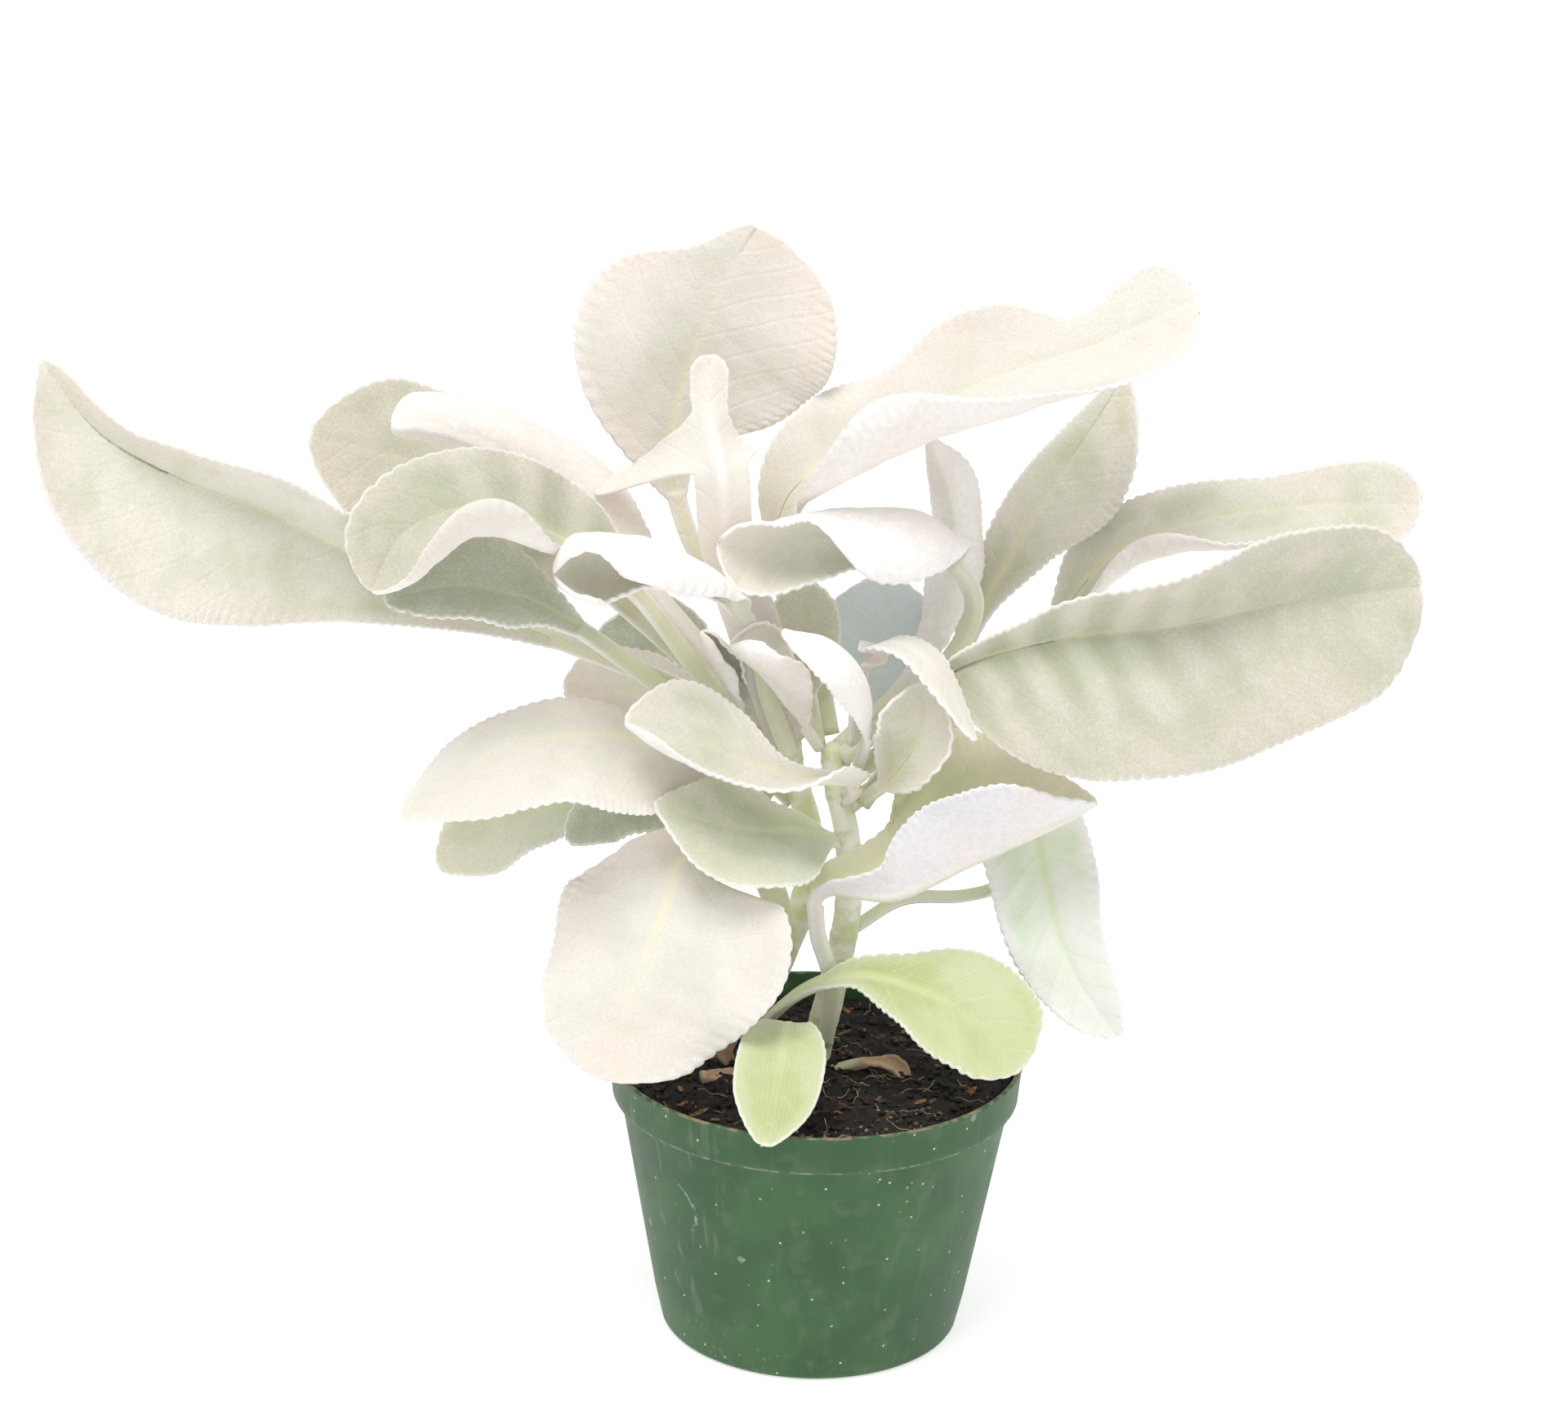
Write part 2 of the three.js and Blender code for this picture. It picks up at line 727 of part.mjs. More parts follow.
    face: [[-0.2, -0.9, 0.3], [-0.2, -0.9, 0.3], [-0.2, -0.9, 0.3]],
    left: [12, 18, 18, 13],
    right: [12, 17, 17, 12],
    fold: [20, 22, 22],
    stalk: 2.8,
    rows: 5,
    curlLeft: [20, 50, 50],
    curlRight: [20, 50, 50],
  },
  leaf_centre_spoon: {
    colour: FELT,
    line: [[9, 206, 8], [12, 211, -4], [4, 213, -12], [-14, 215, -22], [-44, 226, -32], [-72, 234, -38]],
    start: 0.1,
    face: [[-0.1, -0.6, 0.8], [-0.1, -0.6, 0.8], [0.1, -0.6, 0.8]],
    left: [14, 14, 16, 18, 12],
    right: [5, 8, 20, 22, 14],
    tip: 0.84,
    fold: [8, 6, 10],
    curlLeft: [10, 20, 60, 140],
    curlRight: [0, 0, 0, 30],
    columns: 3,
    foldLeft: [80, 60, 8, 4, 8],
  },
  leaf_mid_left_back: {
    colour: FELT,
    line: [[-11, 205, 28], [-38, 229, 34], [-66, 244, 28], [-94, 245, 20]],
    start: 0.3,
    face: [[0, -0.6, 0.8], [0, -0.6, 0.8], [0, -0.6, 0.8]],
    left: [10, 15, 16, 13],
    right: [11, 18, 19, 15],
    rows: 6,
  },
  leaf_mid_left: {
    colour: FELT,
    line: [[-9, 190, 17], [-34, 214, 4], [-74, 228, -14], [-112, 222, -28], [-153, 195, -38]],
    start: 0.26,
    face: [[-0.1, -0.5, 0.85], [-0.15, -0.5, 0.85], [-0.4, -0.5, 0.75]],
    left: [30, 34, 29, 22, 12],
    right: [12, 18, 20, 17, 10],
    fold: [4, 0, 0],
    curlLeft: [-10, -16, 0],
    curlRight: [0, -6, 0],
  },
  leaf_shaded_back: {
    colour: OLIVE,
    line: [[-12, 213, 29], [-36, 233, 54], [-58, 254, 66], [-62, 282, 70]],
    start: 0.4,
    face: [[0.2, -0.9, 0.3], [0.2, -0.9, 0.3], [0.2, -0.9, 0.3]],
    left: [16, 24, 24, 16],
    right: [14, 20, 20, 14],
    rows: 5,
  },
  leaf_right_folded: {
    colour: WHITE,
    line: [
      [4, 110, 5], [6, 134, -2.6], [0, 156, -9], [3, 169, -13], [28, 169, -16], [53, 182, -18],
      [76, 194, -19], [99, 207, -18],
    ],
    start: 0.35,
    face: [[-0.6, 0, 0.3], [-0.4, 0.1, 0.95], [-0.4, 0, 0.9], [-0.4, -0.1, 0.9]],
    left: [26, 54, 58, 46, 18],
    right: [12, 24, 31, 28, 12],
    foldLeft: [34, 36, 36, 30],
    foldRight: [60, 74, 74, 50],
    stalk: 4.2,
    columns: 3,
    rows: 7,
  },
  leaf_left_low: {
    colour: SAGE,
    line: [[5, 190, 12], [-10, 193, -2], [-32, 193, -24], [-61, 202, -38]],
    start: 0.04,
    face: [[0, -0.6, 0.8], [0, -0.6, 0.8], [0, -0.6, 0.8]],
    left: [18, 26, 27, 20, 12],
    right: [12, 21, 25, 16, 8],
    fold: [6, 4, 2],
  },
  leaf_left_hanging: {
    colour: SAGE,
    line: [[-12, 188, 36], [-46, 202, 48], [-84, 203, 50], [-114, 194, 46], [-139, 176, 40]],
    start: 0.42,
    face: [[-0.1, -0.7, 0.7], [-0.1, -0.7, 0.7], [-0.3, -0.7, 0.6]],
    left: [8, 14, 17, 17, 12],
    right: [8, 13, 16, 16, 12],
    rows: 6,
  },
  leaf_left_shaded: {
    colour: OLIVE,
    line: [[-11, 178, 30], [-36, 196, 32], [-62, 202, 28], [-80, 198, 24], [-92, 187, 18]],
    start: 0.4,
    face: [[-0.1, -0.7, 0.7], [-0.1, -0.7, 0.7], [-0.3, -0.7, 0.6]],
    left: [9, 13, 13, 9],
    right: [8, 10, 10, 8],
    rows: 6,
  },
  leaf_left_drooping: {
    colour: FELT,
    line: [
      [-24, 116, 23], [-18, 140, 14], [-15, 160, 6], [-22, 178, -2], [-37, 187, -12],
      [-50, 182, -24], [-57, 160, -36], [-67, 132, -44], [-80, 94, -52],
    ],
    start: 0.52,
    face: [[0, -0.9, 0.35], [-0.2, -0.8, 0.55], [-0.15, -0.9, 0.4], [0, -0.98, 0.1]],
    left: [34, 38, 43, 48, 50, 49, 46, 42, 37, 32, 27, 20],
    right: [10, 22, 33, 38, 39, 38, 36, 34, 32, 28, 25, 21],
    tip: 0.84,
    fold: [-4, -6, 0],
    stalk: 5,
  },
  leaf_right_drooping: {
    colour: SAGE,
    line: [
      [12, 156, 14], [30, 168, 32], [52, 170, 44], [66, 176, 42], [76, 196, 28], [81, 180, 10],
      [87, 156, -4], [97, 135, -10], [111, 116, -12],
    ],
    start: 0.47,
    face: [[-0.3, -0.6, 0.7], [-0.3, -0.6, 0.7], [-0.3, -0.85, 0.4], [-0.4, -0.9, 0.1]],
    left: [18, 20, 19, 16, 12, 7],
    right: [20, 21, 20, 18, 13, 8],
    tip: 0.86,
    fold: [10, 10, 10],
    stalk: 2.4,
  },
  leaf_right_low: {
    colour: GREEN,
    line: [
      [-20, 117, 24], [-9, 128, 2], [4, 135, -12], [18, 137, -17], [40, 131, -24], [60, 119, -32],
      [76, 102, -38],
    ],
    start: 0.38,
    face: [[0.1, -0.6, 0.8], [0.1, -0.6, 0.8], [0.2, -0.8, 0.6]],
    left: [8, 13, 21, 25, 23, 16],
    right: [6, 14, 20, 22, 20, 14],
    tip: 0.84,
    fold: [10, 6, 4],
  },
  leaf_front_small: {
    colour: GREEN,
    line: [[-4, 107, 11], [-9, 112, -6], [-11, 117, -34], [-13, 101, -58], [-18, 68, -84]],
    start: 0.36,
    face: [[0, -0.4, 0.9], [0, -0.7, 0.7], [0, -0.95, 0.2]],
    left: [10, 15, 16, 14, 10],
    right: [10, 15, 16, 14, 10],
    tip: 0.7,
    fold: [6, 2, 0],
    stalk: 2.8,
  },
  leaf_heart_back: {
    colour: MIST,
    line: [[5, 216, 19], [14, 240, 44], [20, 266, 52], [20, 292, 54]],
    start: 0.3,
    face: [[0, -0.9, 0.3], [0, -0.9, 0.3], [0, -0.9, 0.3]],
    left: [16, 24, 24, 16],
    right: [12, 18, 18, 12],
    fold: [10, 8, 6],
    stalk: 2.8,
    rows: 5,
  },
};

// Loose dry pieces that lie on the soil
const LITTER = {
  litter_dried_leaf: {
    colour: DRY_TAN,
    line: [[2, 97.5, 5], [11, 101, 3], [20, 103, 0], [28, 101.5, -2], [35, 95.5, -3]],
    start: 0.5,
    face: [[0, -0.5, 0.8], [0, -0.3, 0.9], [0.3, -0.4, 0.8]],
    left: [2.5, 5, 4.5, 2],
    right: [2.5, 4, 3.5, 2],
    curlLeft: [60, 100, 90],
    curlRight: [30, 70, 50],
    stalk: 2,
    rows: 4,
  },
  litter_dried_scrap: {
    colour: DRY_PALE,
    line: [[-30, 98, 8], [-34, 107, 6], [-33, 117, 6]],
    start: 0.1,
    face: [[0.3, -0.9, 0.2], [-0.3, -0.9, 0.2]],
    left: [3, 4, 3],
    right: [3, 5, 3],
    stalk: 2,
    rows: 4,
  },
  litter_wood_chip: {
    colour: WOOD_TAN,
    line: [[-42, 95, -8], [-32, 96, -5], [-23, 96, -3]],
    start: 0.1,
    face: [[0, -0.2, 0.9], [0, -0.2, 0.9]],
    left: [4, 4],
    right: [4, 4],
    stalk: 3,
    tip: 0.97,
    teeth: 0.4,
    rows: 3,
  },
};

const root = new THREE.Group();

function addNode(name, body, colour, roughness) {
  const material = new THREE.MeshStandardMaterial({ color: colour, roughness });
  material.name = name;
  const mesh = new THREE.Mesh(geometryOf(body), material);
  mesh.name = name;
  root.add(mesh);
}

// Pot
let pot = turned(
  [
    [0, 0],
    [BASE_RADIUS - 2, 0],
    [BASE_RADIUS, 2],
    [BODY_TOP_RADIUS, BAND_FOOT - 1.5],
    [RIM_FOOT_RADIUS, BAND_FOOT],
    [RIM_RADIUS - 0.2, POT_HEIGHT - 1.4],
    [RIM_RADIUS, POT_HEIGHT],
    [RIM_RADIUS - WALL - 0.4, POT_HEIGHT],
    [RIM_FOOT_RADIUS - WALL, BAND_FOOT + 1],
    [BODY_TOP_RADIUS - WALL, BAND_FOOT - 2],
    [BASE_RADIUS - WALL, FLOOR + 2],
    [BASE_RADIUS - WALL - 2, FLOOR],
    [0, FLOOR],
  ],
  POT_SIDES,
);
for (let k = 0; k < DRAIN_HOLES; k += 1) {
  const a = (2 * Math.PI * (k + 0.5)) / DRAIN_HOLES;
  const x = DRAIN_RING * Math.cos(a);
  const y = DRAIN_RING * Math.sin(a);
  const hole = new Line([new THREE.Vector3(x, y, -5), new THREE.Vector3(x, y, 10)]);
  pot = pot.subtract(rod(hole, () => DRAIN_RADIUS, 1, DRAIN_SIDES));
}
addNode("pot", pot, POT_GREEN, 0.45);

// Soil
function soilBump(r, a, z) {
  if (z < SOIL_TOP - 1) return 0;
  const edge = Math.max(0, 1 - r / CROWN_RADIUS);
  const lumps = Math.sin(r * 0.31 + 3 * a) + Math.sin(r * 0.17 - 5 * a + 1.3) + Math.cos(0.4 * r + 7 * a);
  return edge * CROWN_RISE + LUMP_HEIGHT * lumps * (r < CALM_RADIUS ? 1 : CALM_SHARE);
}
let soil = turned(
  [
    [0, FLOOR + FIT_GAP],
    [BASE_RADIUS - WALL - 3, FLOOR + FIT_GAP],
    [BASE_RADIUS - WALL - 0.7, FLOOR + 3],
    [BODY_TOP_RADIUS - WALL - 0.6, BAND_FOOT - 2.5],
    [RIM_FOOT_RADIUS - WALL - 1.2, BAND_FOOT + 1.4],
    ...SOIL_RINGS.map((r) => [r, SOIL_TOP]),
    [0, SOIL_TOP + 2.5],
  ],
  SOIL_SIDES,
  soilBump,
);

// Stems, each in its own plain hole
const stems = {};
const seats = {};
Object.entries(STEMS).forEach(([name, { points, radius }]) => {
  const line = new Line(points.map((p) => new THREE.Vector3(...p)));
  const size = (share) => radius[0] + (radius[1] - radius[0]) * share;
  stems[name] = rod(line, size, STEM_ROWS, STEM_SIDES);
  const end = line.point(1).addScaledVector(line.direction(1), SEAT_OVER);
  const longer = new Line([...line.points, end]);
  seats[name] = rod(longer, (share) => size(share) + SEAT_GAP + SEAT_SKIN, SEAT_ROWS, STEM_SIDES);
  const [x, y] = points[0];
  const hole = new Line([new THREE.Vector3(x, y, HOLE_FOOT), new THREE.Vector3(x, y, HOLE_TOP)]);
  soil = soil.subtract(rod(hole, () => radius[0] + HOLE_GAP, 1, HOLE_SIDES));
});
addNode("soil", soil, SOIL_BROWN, 0.95);
Object.entries(stems).forEach(([name, body]) => addNode(name, body, STEM_GREEN, 0.8));

// Leaves, each seated close to its stem and kept clear of the leaves before it
const taken = Object.values(seats);
const ground = soil.translate([0, 0, SEAT_GAP]);
Object.entries({ ...LEAVES, ...LITTER }).forEach(([name, spec]) => {
  let body = new Leaf(spec).build();
  if (name in LITTER) body = body.subtract(ground);
  taken.forEach((other) => {
    if (body.intersect(other).volume() > 0) body = body.subtract(other);
  });
  taken.push(new Leaf({ ...spec, grow: LEAF_GAP }).build());
  addNode(name, largest(body.simplify(TIDY)), spec.colour, 0.85);
});

export default root;
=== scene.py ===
"""Potted angel wings senecio: the finely drawn leaves, stems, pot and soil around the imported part.

Each leaf is the felted blade of its own solid, drawn again with a scalloped margin, a grooved
midrib, side veins, soft swells and a rounded edge. Meshes are shaped in millimetres and turned to
metres when they are made, and the patterns of the finishes are sized in metres. The front is
towards -Y, and the pot stands at the origin.
"""

import logging
import math
from dataclasses import dataclass
from enum import Enum
from functools import cache, cached_property
from typing import Any, Optional, Sequence

import bmesh
import bpy
import numpy as np
from mathutils import Matrix, Vector, noise

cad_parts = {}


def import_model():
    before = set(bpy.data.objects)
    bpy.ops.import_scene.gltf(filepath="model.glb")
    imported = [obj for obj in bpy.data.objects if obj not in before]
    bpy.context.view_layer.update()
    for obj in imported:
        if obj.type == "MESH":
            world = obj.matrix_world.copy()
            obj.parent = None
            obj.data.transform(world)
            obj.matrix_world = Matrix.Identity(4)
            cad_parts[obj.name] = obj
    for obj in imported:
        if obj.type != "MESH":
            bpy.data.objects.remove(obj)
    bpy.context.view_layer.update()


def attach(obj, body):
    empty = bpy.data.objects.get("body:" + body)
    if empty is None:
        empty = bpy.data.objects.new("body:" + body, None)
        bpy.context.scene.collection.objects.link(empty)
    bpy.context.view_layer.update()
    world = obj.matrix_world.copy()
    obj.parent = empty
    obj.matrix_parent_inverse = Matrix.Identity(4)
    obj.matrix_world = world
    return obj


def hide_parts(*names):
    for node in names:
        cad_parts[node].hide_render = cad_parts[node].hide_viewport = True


LOG = logging.getLogger("senecio")
MM = 0.001
BODY = "root"
FULL_TURN = 2 * math.pi
Triple = tuple[float, float, float]
Colour = tuple[float, float, float, float]
Row = tuple[float, ...]
Points = tuple[Triple, ...]


def tone(colour: Triple, share: float = 1.0) -> Colour:
    """Returns a screen colour as the linear one that a shader takes.

    Args:
        colour: Red, green and blue from 0 to 255.
        share: How much of the screen value is kept.

    Returns:
        The linear colour.
    """
    made = []
    for value in colour:
        level = share * value / 255.0
        made.append(level / 12.92 if level <= 0.04045 else ((level + 0.055) / 1.055) ** 2.4)
    return (*made, 1.0)


# Shader wiring


class Wire:
    """A shader value that can be added, subtracted and multiplied like a number."""

    def __init__(self, tree: "Tree", socket: bpy.types.NodeSocket) -> None:
        """Keeps the socket and the tree it belongs to."""
        self.tree = tree
        self.socket = socket

    def __add__(self, other: "Wire | float") -> "Wire":
        """Returns the sum."""
        return self.tree.maths("ADD", self, other)

    __radd__ = __add__

    def __sub__(self, other: "Wire | float") -> "Wire":
        """Returns the difference."""
        return self.tree.maths("SUBTRACT", self, other)

    def __rsub__(self, other: "Wire | float") -> "Wire":
        """Returns the difference the other way round."""
        return self.tree.maths("SUBTRACT", other, self)

    def __mul__(self, other: "Wire | float") -> "Wire":
        """Returns the product."""
        return self.tree.maths("MULTIPLY", self, other)

    __rmul__ = __mul__

    def also(self, output: str) -> "Wire":
        """Returns another output of the same node."""
        return Wire(self.tree, self.socket.node.outputs[output])

    def size(self) -> "Wire":
        """Returns the value without its sign."""
        return self.tree.maths("ABSOLUTE", self, 0.0)

    def fade(self, start: float, end: float) -> "Wire":
        """Returns a smooth ramp.

        Args:
            start: The value where the ramp is 1.
            end: The value where it has reached 0. It may be below start.

        Returns:
            The ramp, held between 0 and 1.
        """
        low, high = min(start, end), max(start, end)
        foot, top = (1.0, 0.0) if start < end else (0.0, 1.0)
        return self.tree.node(
            "ShaderNodeMapRange",
            {"interpolation_type": "SMOOTHSTEP"},
            {"Value": self, "From Min": low, "From Max": high, "To Min": foot, "To Max": top},
            "Result",
        )


class Tree:
    """The node tree of one material, with its Principled shader."""

    def __init__(self, name: str) -> None:
        """Starts a material with one Principled shader.

        Args:
            name: The material's name.
        """
        self.material = bpy.data.materials.new(name)
        self.material.use_nodes = True
        self.nodes = self.material.node_tree.nodes
        self.links = self.material.node_tree.links
        self.shader = next(n for n in self.nodes if n.type == "BSDF_PRINCIPLED")
        self.place = self.node("ShaderNodeTexCoord", {}, {}, "Object")

    def node(
        self, kind: str, settings: dict[str, Any], inputs: dict[Any, Any], output: str | int = 0
    ) -> Wire:
        """Adds a node.

        Args:
            kind: The node's type.
            settings: Its own settings, which are set first.
            inputs: Values or wires for its sockets, by name or number.
            output: The socket that is handed back.

        Returns:
            The wire from that output.
        """
        made = self.nodes.new(kind)
        for key, value in settings.items():
            setattr(made, key, value)
        for key, value in inputs.items():
            self.join(made.inputs[key], value)
        return Wire(self, made.outputs[output])

    def join(self, socket: bpy.types.NodeSocket, value: Any) -> None:
        """Puts a value, a colour or a wire into a socket."""
        if isinstance(value, Wire):
            self.links.new(value.socket, socket)
        else:
            socket.default_value = value

    def maths(self, operation: str, a: Any, b: Any) -> Wire:
        """Returns a Math node's result for two values or wires."""
        return self.node("ShaderNodeMath", {"operation": operation}, {0: a, 1: b})

    def mix(self, factor: Any, a: Any, b: Any) -> Wire:
        """Returns colour a turned towards colour b by the factor."""
        settings = {"data_type": "RGBA", "clamp_factor": True}
        return self.node("ShaderNodeMix", settings, {0: factor, 6: a, 7: b}, 2)

    def grain(self, scale: float, detail: float = 2.0, shift: float = 0.0) -> Wire:
        """Returns cloudy noise from 0 to 1.

        Args:
            scale: Clouds per metre.
            detail: Layers of finer clouds.
            shift: Moves the pattern, so that two of one scale differ.

        Returns:
            The noise.
        """
        at = self.place
        if shift:
            at = self.node("ShaderNodeMapping", {}, {"Vector": at, "Location": (shift, -shift, shift)})
        wires = {"Vector": at, "Scale": scale, "Detail": detail, "Roughness": 0.55}
        return self.node("ShaderNodeTexNoise", {}, wires, "Fac")

    def clouds(self, scale: float, detail: float, stretch: Triple = (1.0, 1.0, 1.0)) -> Wire:
        """Returns softer cloudy noise, which may be drawn out along an axis.

        Args:
            scale: Clouds per metre.
            detail: Layers of finer clouds.
            stretch: The share of the scale that each axis keeps.

        Returns:
            The noise.
        """
        at = self.node("ShaderNodeMapping", {}, {"Vector": self.place, "Scale": stretch})
        wires = {"Vector": at, "Scale": scale, "Detail": detail}
        return self.node("ShaderNodeTexNoise", {}, wires, "Fac")

    def specks(self, scale: float, reach: float, share: float, shift: float = 0.0) -> Wire:
        """Returns small separate dots.

        Args:
            scale: Cells per metre.
            reach: The dots' radius as a share of a cell.
            share: The share of cells that have a dot.
            shift: Moves the pattern.

        Returns:
            1 in a dot and 0 outside.
        """
        moved = {"Vector": self.place, "Location": (shift, shift, -shift)}
        at = self.node("ShaderNodeMapping", {}, moved)
        wires = {"Vector": at, "Scale": scale, "Randomness": 1.0}
        distance = self.node("ShaderNodeTexVoronoi", {}, wires, "Distance")
        chance = self.node("ShaderNodeSeparateColor", {}, {0: distance.also("Color")})
        return distance.fade(reach * 0.5, reach) * chance.fade(share * 0.98, share)

    def own(self, name: str) -> Wire:
        """Returns a number that the mesh carries at each point."""
        return self.node("ShaderNodeAttribute", {"attribute_name": name}, {}, "Fac")

    def bump(self, height: Wire, depth: float, strength: float) -> Wire:
        """Returns a normal for a height between 0 and 1 that stands depth metres high."""
        wires = {"Height": height, "Distance": depth, "Strength": strength}
        return self.node("ShaderNodeBump", {}, wires, "Normal")

    def finish(
        self, colour: Any, roughness: Any, normal: Optional[Wire] = None, **fixed: Any
    ) -> bpy.types.Material:
        """Wires up the shader.

        Args:
            colour: The base colour.
            roughness: The roughness.
            normal: The bumped normal.
            fixed: Other sockets' constant values, with _ for a space.

        Returns:
            The finished material.
        """
        self.join(self.shader.inputs["Base Color"], colour)
        self.join(self.shader.inputs["Roughness"], roughness)
        if normal is not None:
            self.join(self.shader.inputs["Normal"], normal)
        for key, value in fixed.items():
            self.shader.inputs[key.replace("_", " ")].default_value = value
        return self.material


class LeafTree(Tree):
    """The nodes of a leaf's finish, with the places that the leaf's mesh carries."""

    @cached_property
    def across(self) -> Wire:
        """The distance from the midrib, in millimetres."""
        return self.own("across").size()

    @cached_property
    def along(self) -> Wire:
        """The place along the leaf, in millimetres from the foot of its blade."""
        return self.own("along")

    @cached_property
    def blade(self) -> Wire:
        """The share of the blade's length, below 0 on the stalk."""
        return self.own("blade")

    @cached_property
    def edge(self) -> Wire:
        """The distance from the margin, in millimetres."""
        return self.own("edge")


# Finishes


@dataclass(frozen=True)
class FeltFinish:
    """White wool over a green leaf, with its veins and white margin."""

    name: str
    slot: str
    light: Triple
    shade: Triple
    blush: Triple
    under: Triple
    vein: Triple = (234, 231, 196)
    stalk: Triple = (216, 219, 184)
    margin: Triple = (246, 244, 240)
    speck: Triple = (96, 88, 62)
    blush_share: float = 0.5
    shade_share: float = 0.6
    mottle_share: float = 1.0
    # Share of the painted shade and painted highlight bands on the quilted blade.
    painted_ridge_share: float = 0.0
    striped: bool = False

    VEIN_SLANT = 0.95
    VEIN_HALF_PITCH = 6.5
    VEIN_WANDER = 5.0
    RIB_SHARE = 0.65
    SIDE_VEIN_SHARE = 0.14
    EDGE_SHARE = 0.55
    SPECK_SHARE = 0.75
    RIDGE_SLANT = 0.4
    RIDGE_HALF_PITCH = 9.5
    RIDGE_WANDER = 10.0
    # How dark the painted shade in the quilt bands is.
    RIDGE_PAINTED_SHADE_DIM = 0.88
    UNDER_DIM = 0.9
    WOOL_DEPTH = 0.0005
    UPPER_ROUGH = 0.92
    UNDER_ROUGH = 0.94
    MARGIN_ROUGH = 0.95
    SHEEN = {"Sheen_Weight": 0.35, "Sheen_Roughness": 0.6, "IOR": 1.3, "Specular_IOR_Level": 0.15}

    def upper(self) -> bpy.types.Material:
        """Returns the upper face: mottled wool, pale midrib, faint side veins, white edge."""
        tree = LeafTree(self.name + "_upper")
        mottle = tree.grain(1050.0, 4.0, 0.7)
        wool = tree.grain(2100.0, 2.0, 0.3)
        colour = self.tinted(tree, mottle)
        tuft = mottle * 0.6 + wool * 0.4
        colour = tree.mix(tuft.fade(0.62, 0.5) * 0.24 * self.mottle_share, colour, tone(self.margin))
        colour = tree.mix(tuft.fade(0.38, 0.49) * 0.3 * self.mottle_share, colour, tone(self.shade))
        if self.striped:
            stripe = tree.maths("SINE", tree.across * 4.2 + tree.grain(180.0, 1.0) * 5.0, 0.0)
            colour = tree.mix(stripe.fade(1.0, 0.2) * 0.16, colour, tone(self.vein))
        # Painted shade and painted highlight: bands that stand in for the light on the quilted blade.
        if self.painted_ridge_share:
            colour = self.ridged(tree, colour)
        near = self.near_vein(tree)
        side = near.fade(0.2, 1.2) * tree.across.fade(8.0, 26.0) * self.SIDE_VEIN_SHARE
        rib = tree.across.fade(0.2, 3.6) * tree.blade.fade(0.15, 0.95)
        vein = tree.maths("MAXIMUM", rib * self.RIB_SHARE, side)
        colour = tree.mix(vein, colour, tone(self.vein))
        colour = tree.mix(tree.edge.fade(0.2, 1.5) * self.EDGE_SHARE, colour, tone(self.margin))
        colour = tree.mix(self.on_stalk(tree), colour, tone(self.stalk))
        speck = tree.specks(95.0, 0.035, 0.06)
        colour = tree.mix(speck * self.SPECK_SHARE, colour, tone(self.speck))
        height = wool * 0.5 + mottle * 0.7 + near.fade(0.0, 1.6) * -0.35 + rib * -0.5
        normal = tree.bump(height, self.WOOL_DEPTH, 0.75)
        return tree.finish(colour, self.UPPER_ROUGH, normal, **self.SHEEN)

    def lower(self) -> bpy.types.Material:
        """Returns the underside: thicker white wool over raised veins."""
        tree = LeafTree(self.name + "_under")
        mottle = tree.grain(520.0, 3.0, 0.2)
        wool = tree.grain(1900.0, 2.0)
        clouds = tree.grain(30.0, 2.0, 0.5)
        colour = tree.mix(clouds.fade(0.62, 0.4) * 0.45, tone(self.under), tone(self.blush))
        dim = (1.0 - mottle).fade(0.62, 0.4) * 0.28
        colour = tree.mix(dim, colour, tone(self.under, self.UNDER_DIM))
        colour = tree.mix(tree.across.fade(1.0, 3.2) * 0.35, colour, tone(self.vein))
        colour = tree.mix(self.on_stalk(tree), colour, tone(self.stalk))
        raised = self.near_vein(tree).fade(0.0, 1.8) * 0.5 * tree.across.fade(26.0, 6.0)
        normal = tree.bump(wool * 0.5 + mottle * 0.7 + raised, self.WOOL_DEPTH, 0.7)
        return tree.finish(colour, self.UNDER_ROUGH, normal, **self.SHEEN)

    def rim(self) -> bpy.types.Material:
        """Returns the thick white wool of the margin."""
        tree = LeafTree(self.name + "_margin")
        wool = tree.grain(1900.0, 3.0)
        colour = tree.mix(wool * 0.3, tone(self.margin), tone(self.under))
        normal = tree.bump(wool, self.WOOL_DEPTH, 0.7)
        return tree.finish(colour, self.MARGIN_ROUGH, normal, **self.SHEEN)

    def tinted(self, tree: LeafTree, mottle: Wire) -> Wire:
        """Returns the wool's broad tones: green through it at the midrib, pink at the margin.

        Args:
            tree: The material's nodes.
            mottle: The wool's tufts.

        Returns:
            The colour.
        """
        clouds = tree.grain(38.0, 3.0).fade(0.62, 0.4)
        patch = clouds * 0.6 + tree.across.fade(1.0, 24.0) * 0.3 + tree.blade.fade(0.0, 0.6) * 0.25
        green = patch * (0.45 + mottle * 1.1) * tree.edge.fade(7.0, 0.5) * self.shade_share
        colour = tree.mix(green, tone(self.light), tone(self.shade))
        pink = tree.edge.fade(3.0, 24.0) * 0.6 + tree.blade.fade(1.0, 0.4) * 0.5
        pink = pink * tree.grain(26.0, 2.0, 0.4).fade(0.6, 0.42) * self.blush_share
        return tree.mix(pink, colour, tone(self.blush))

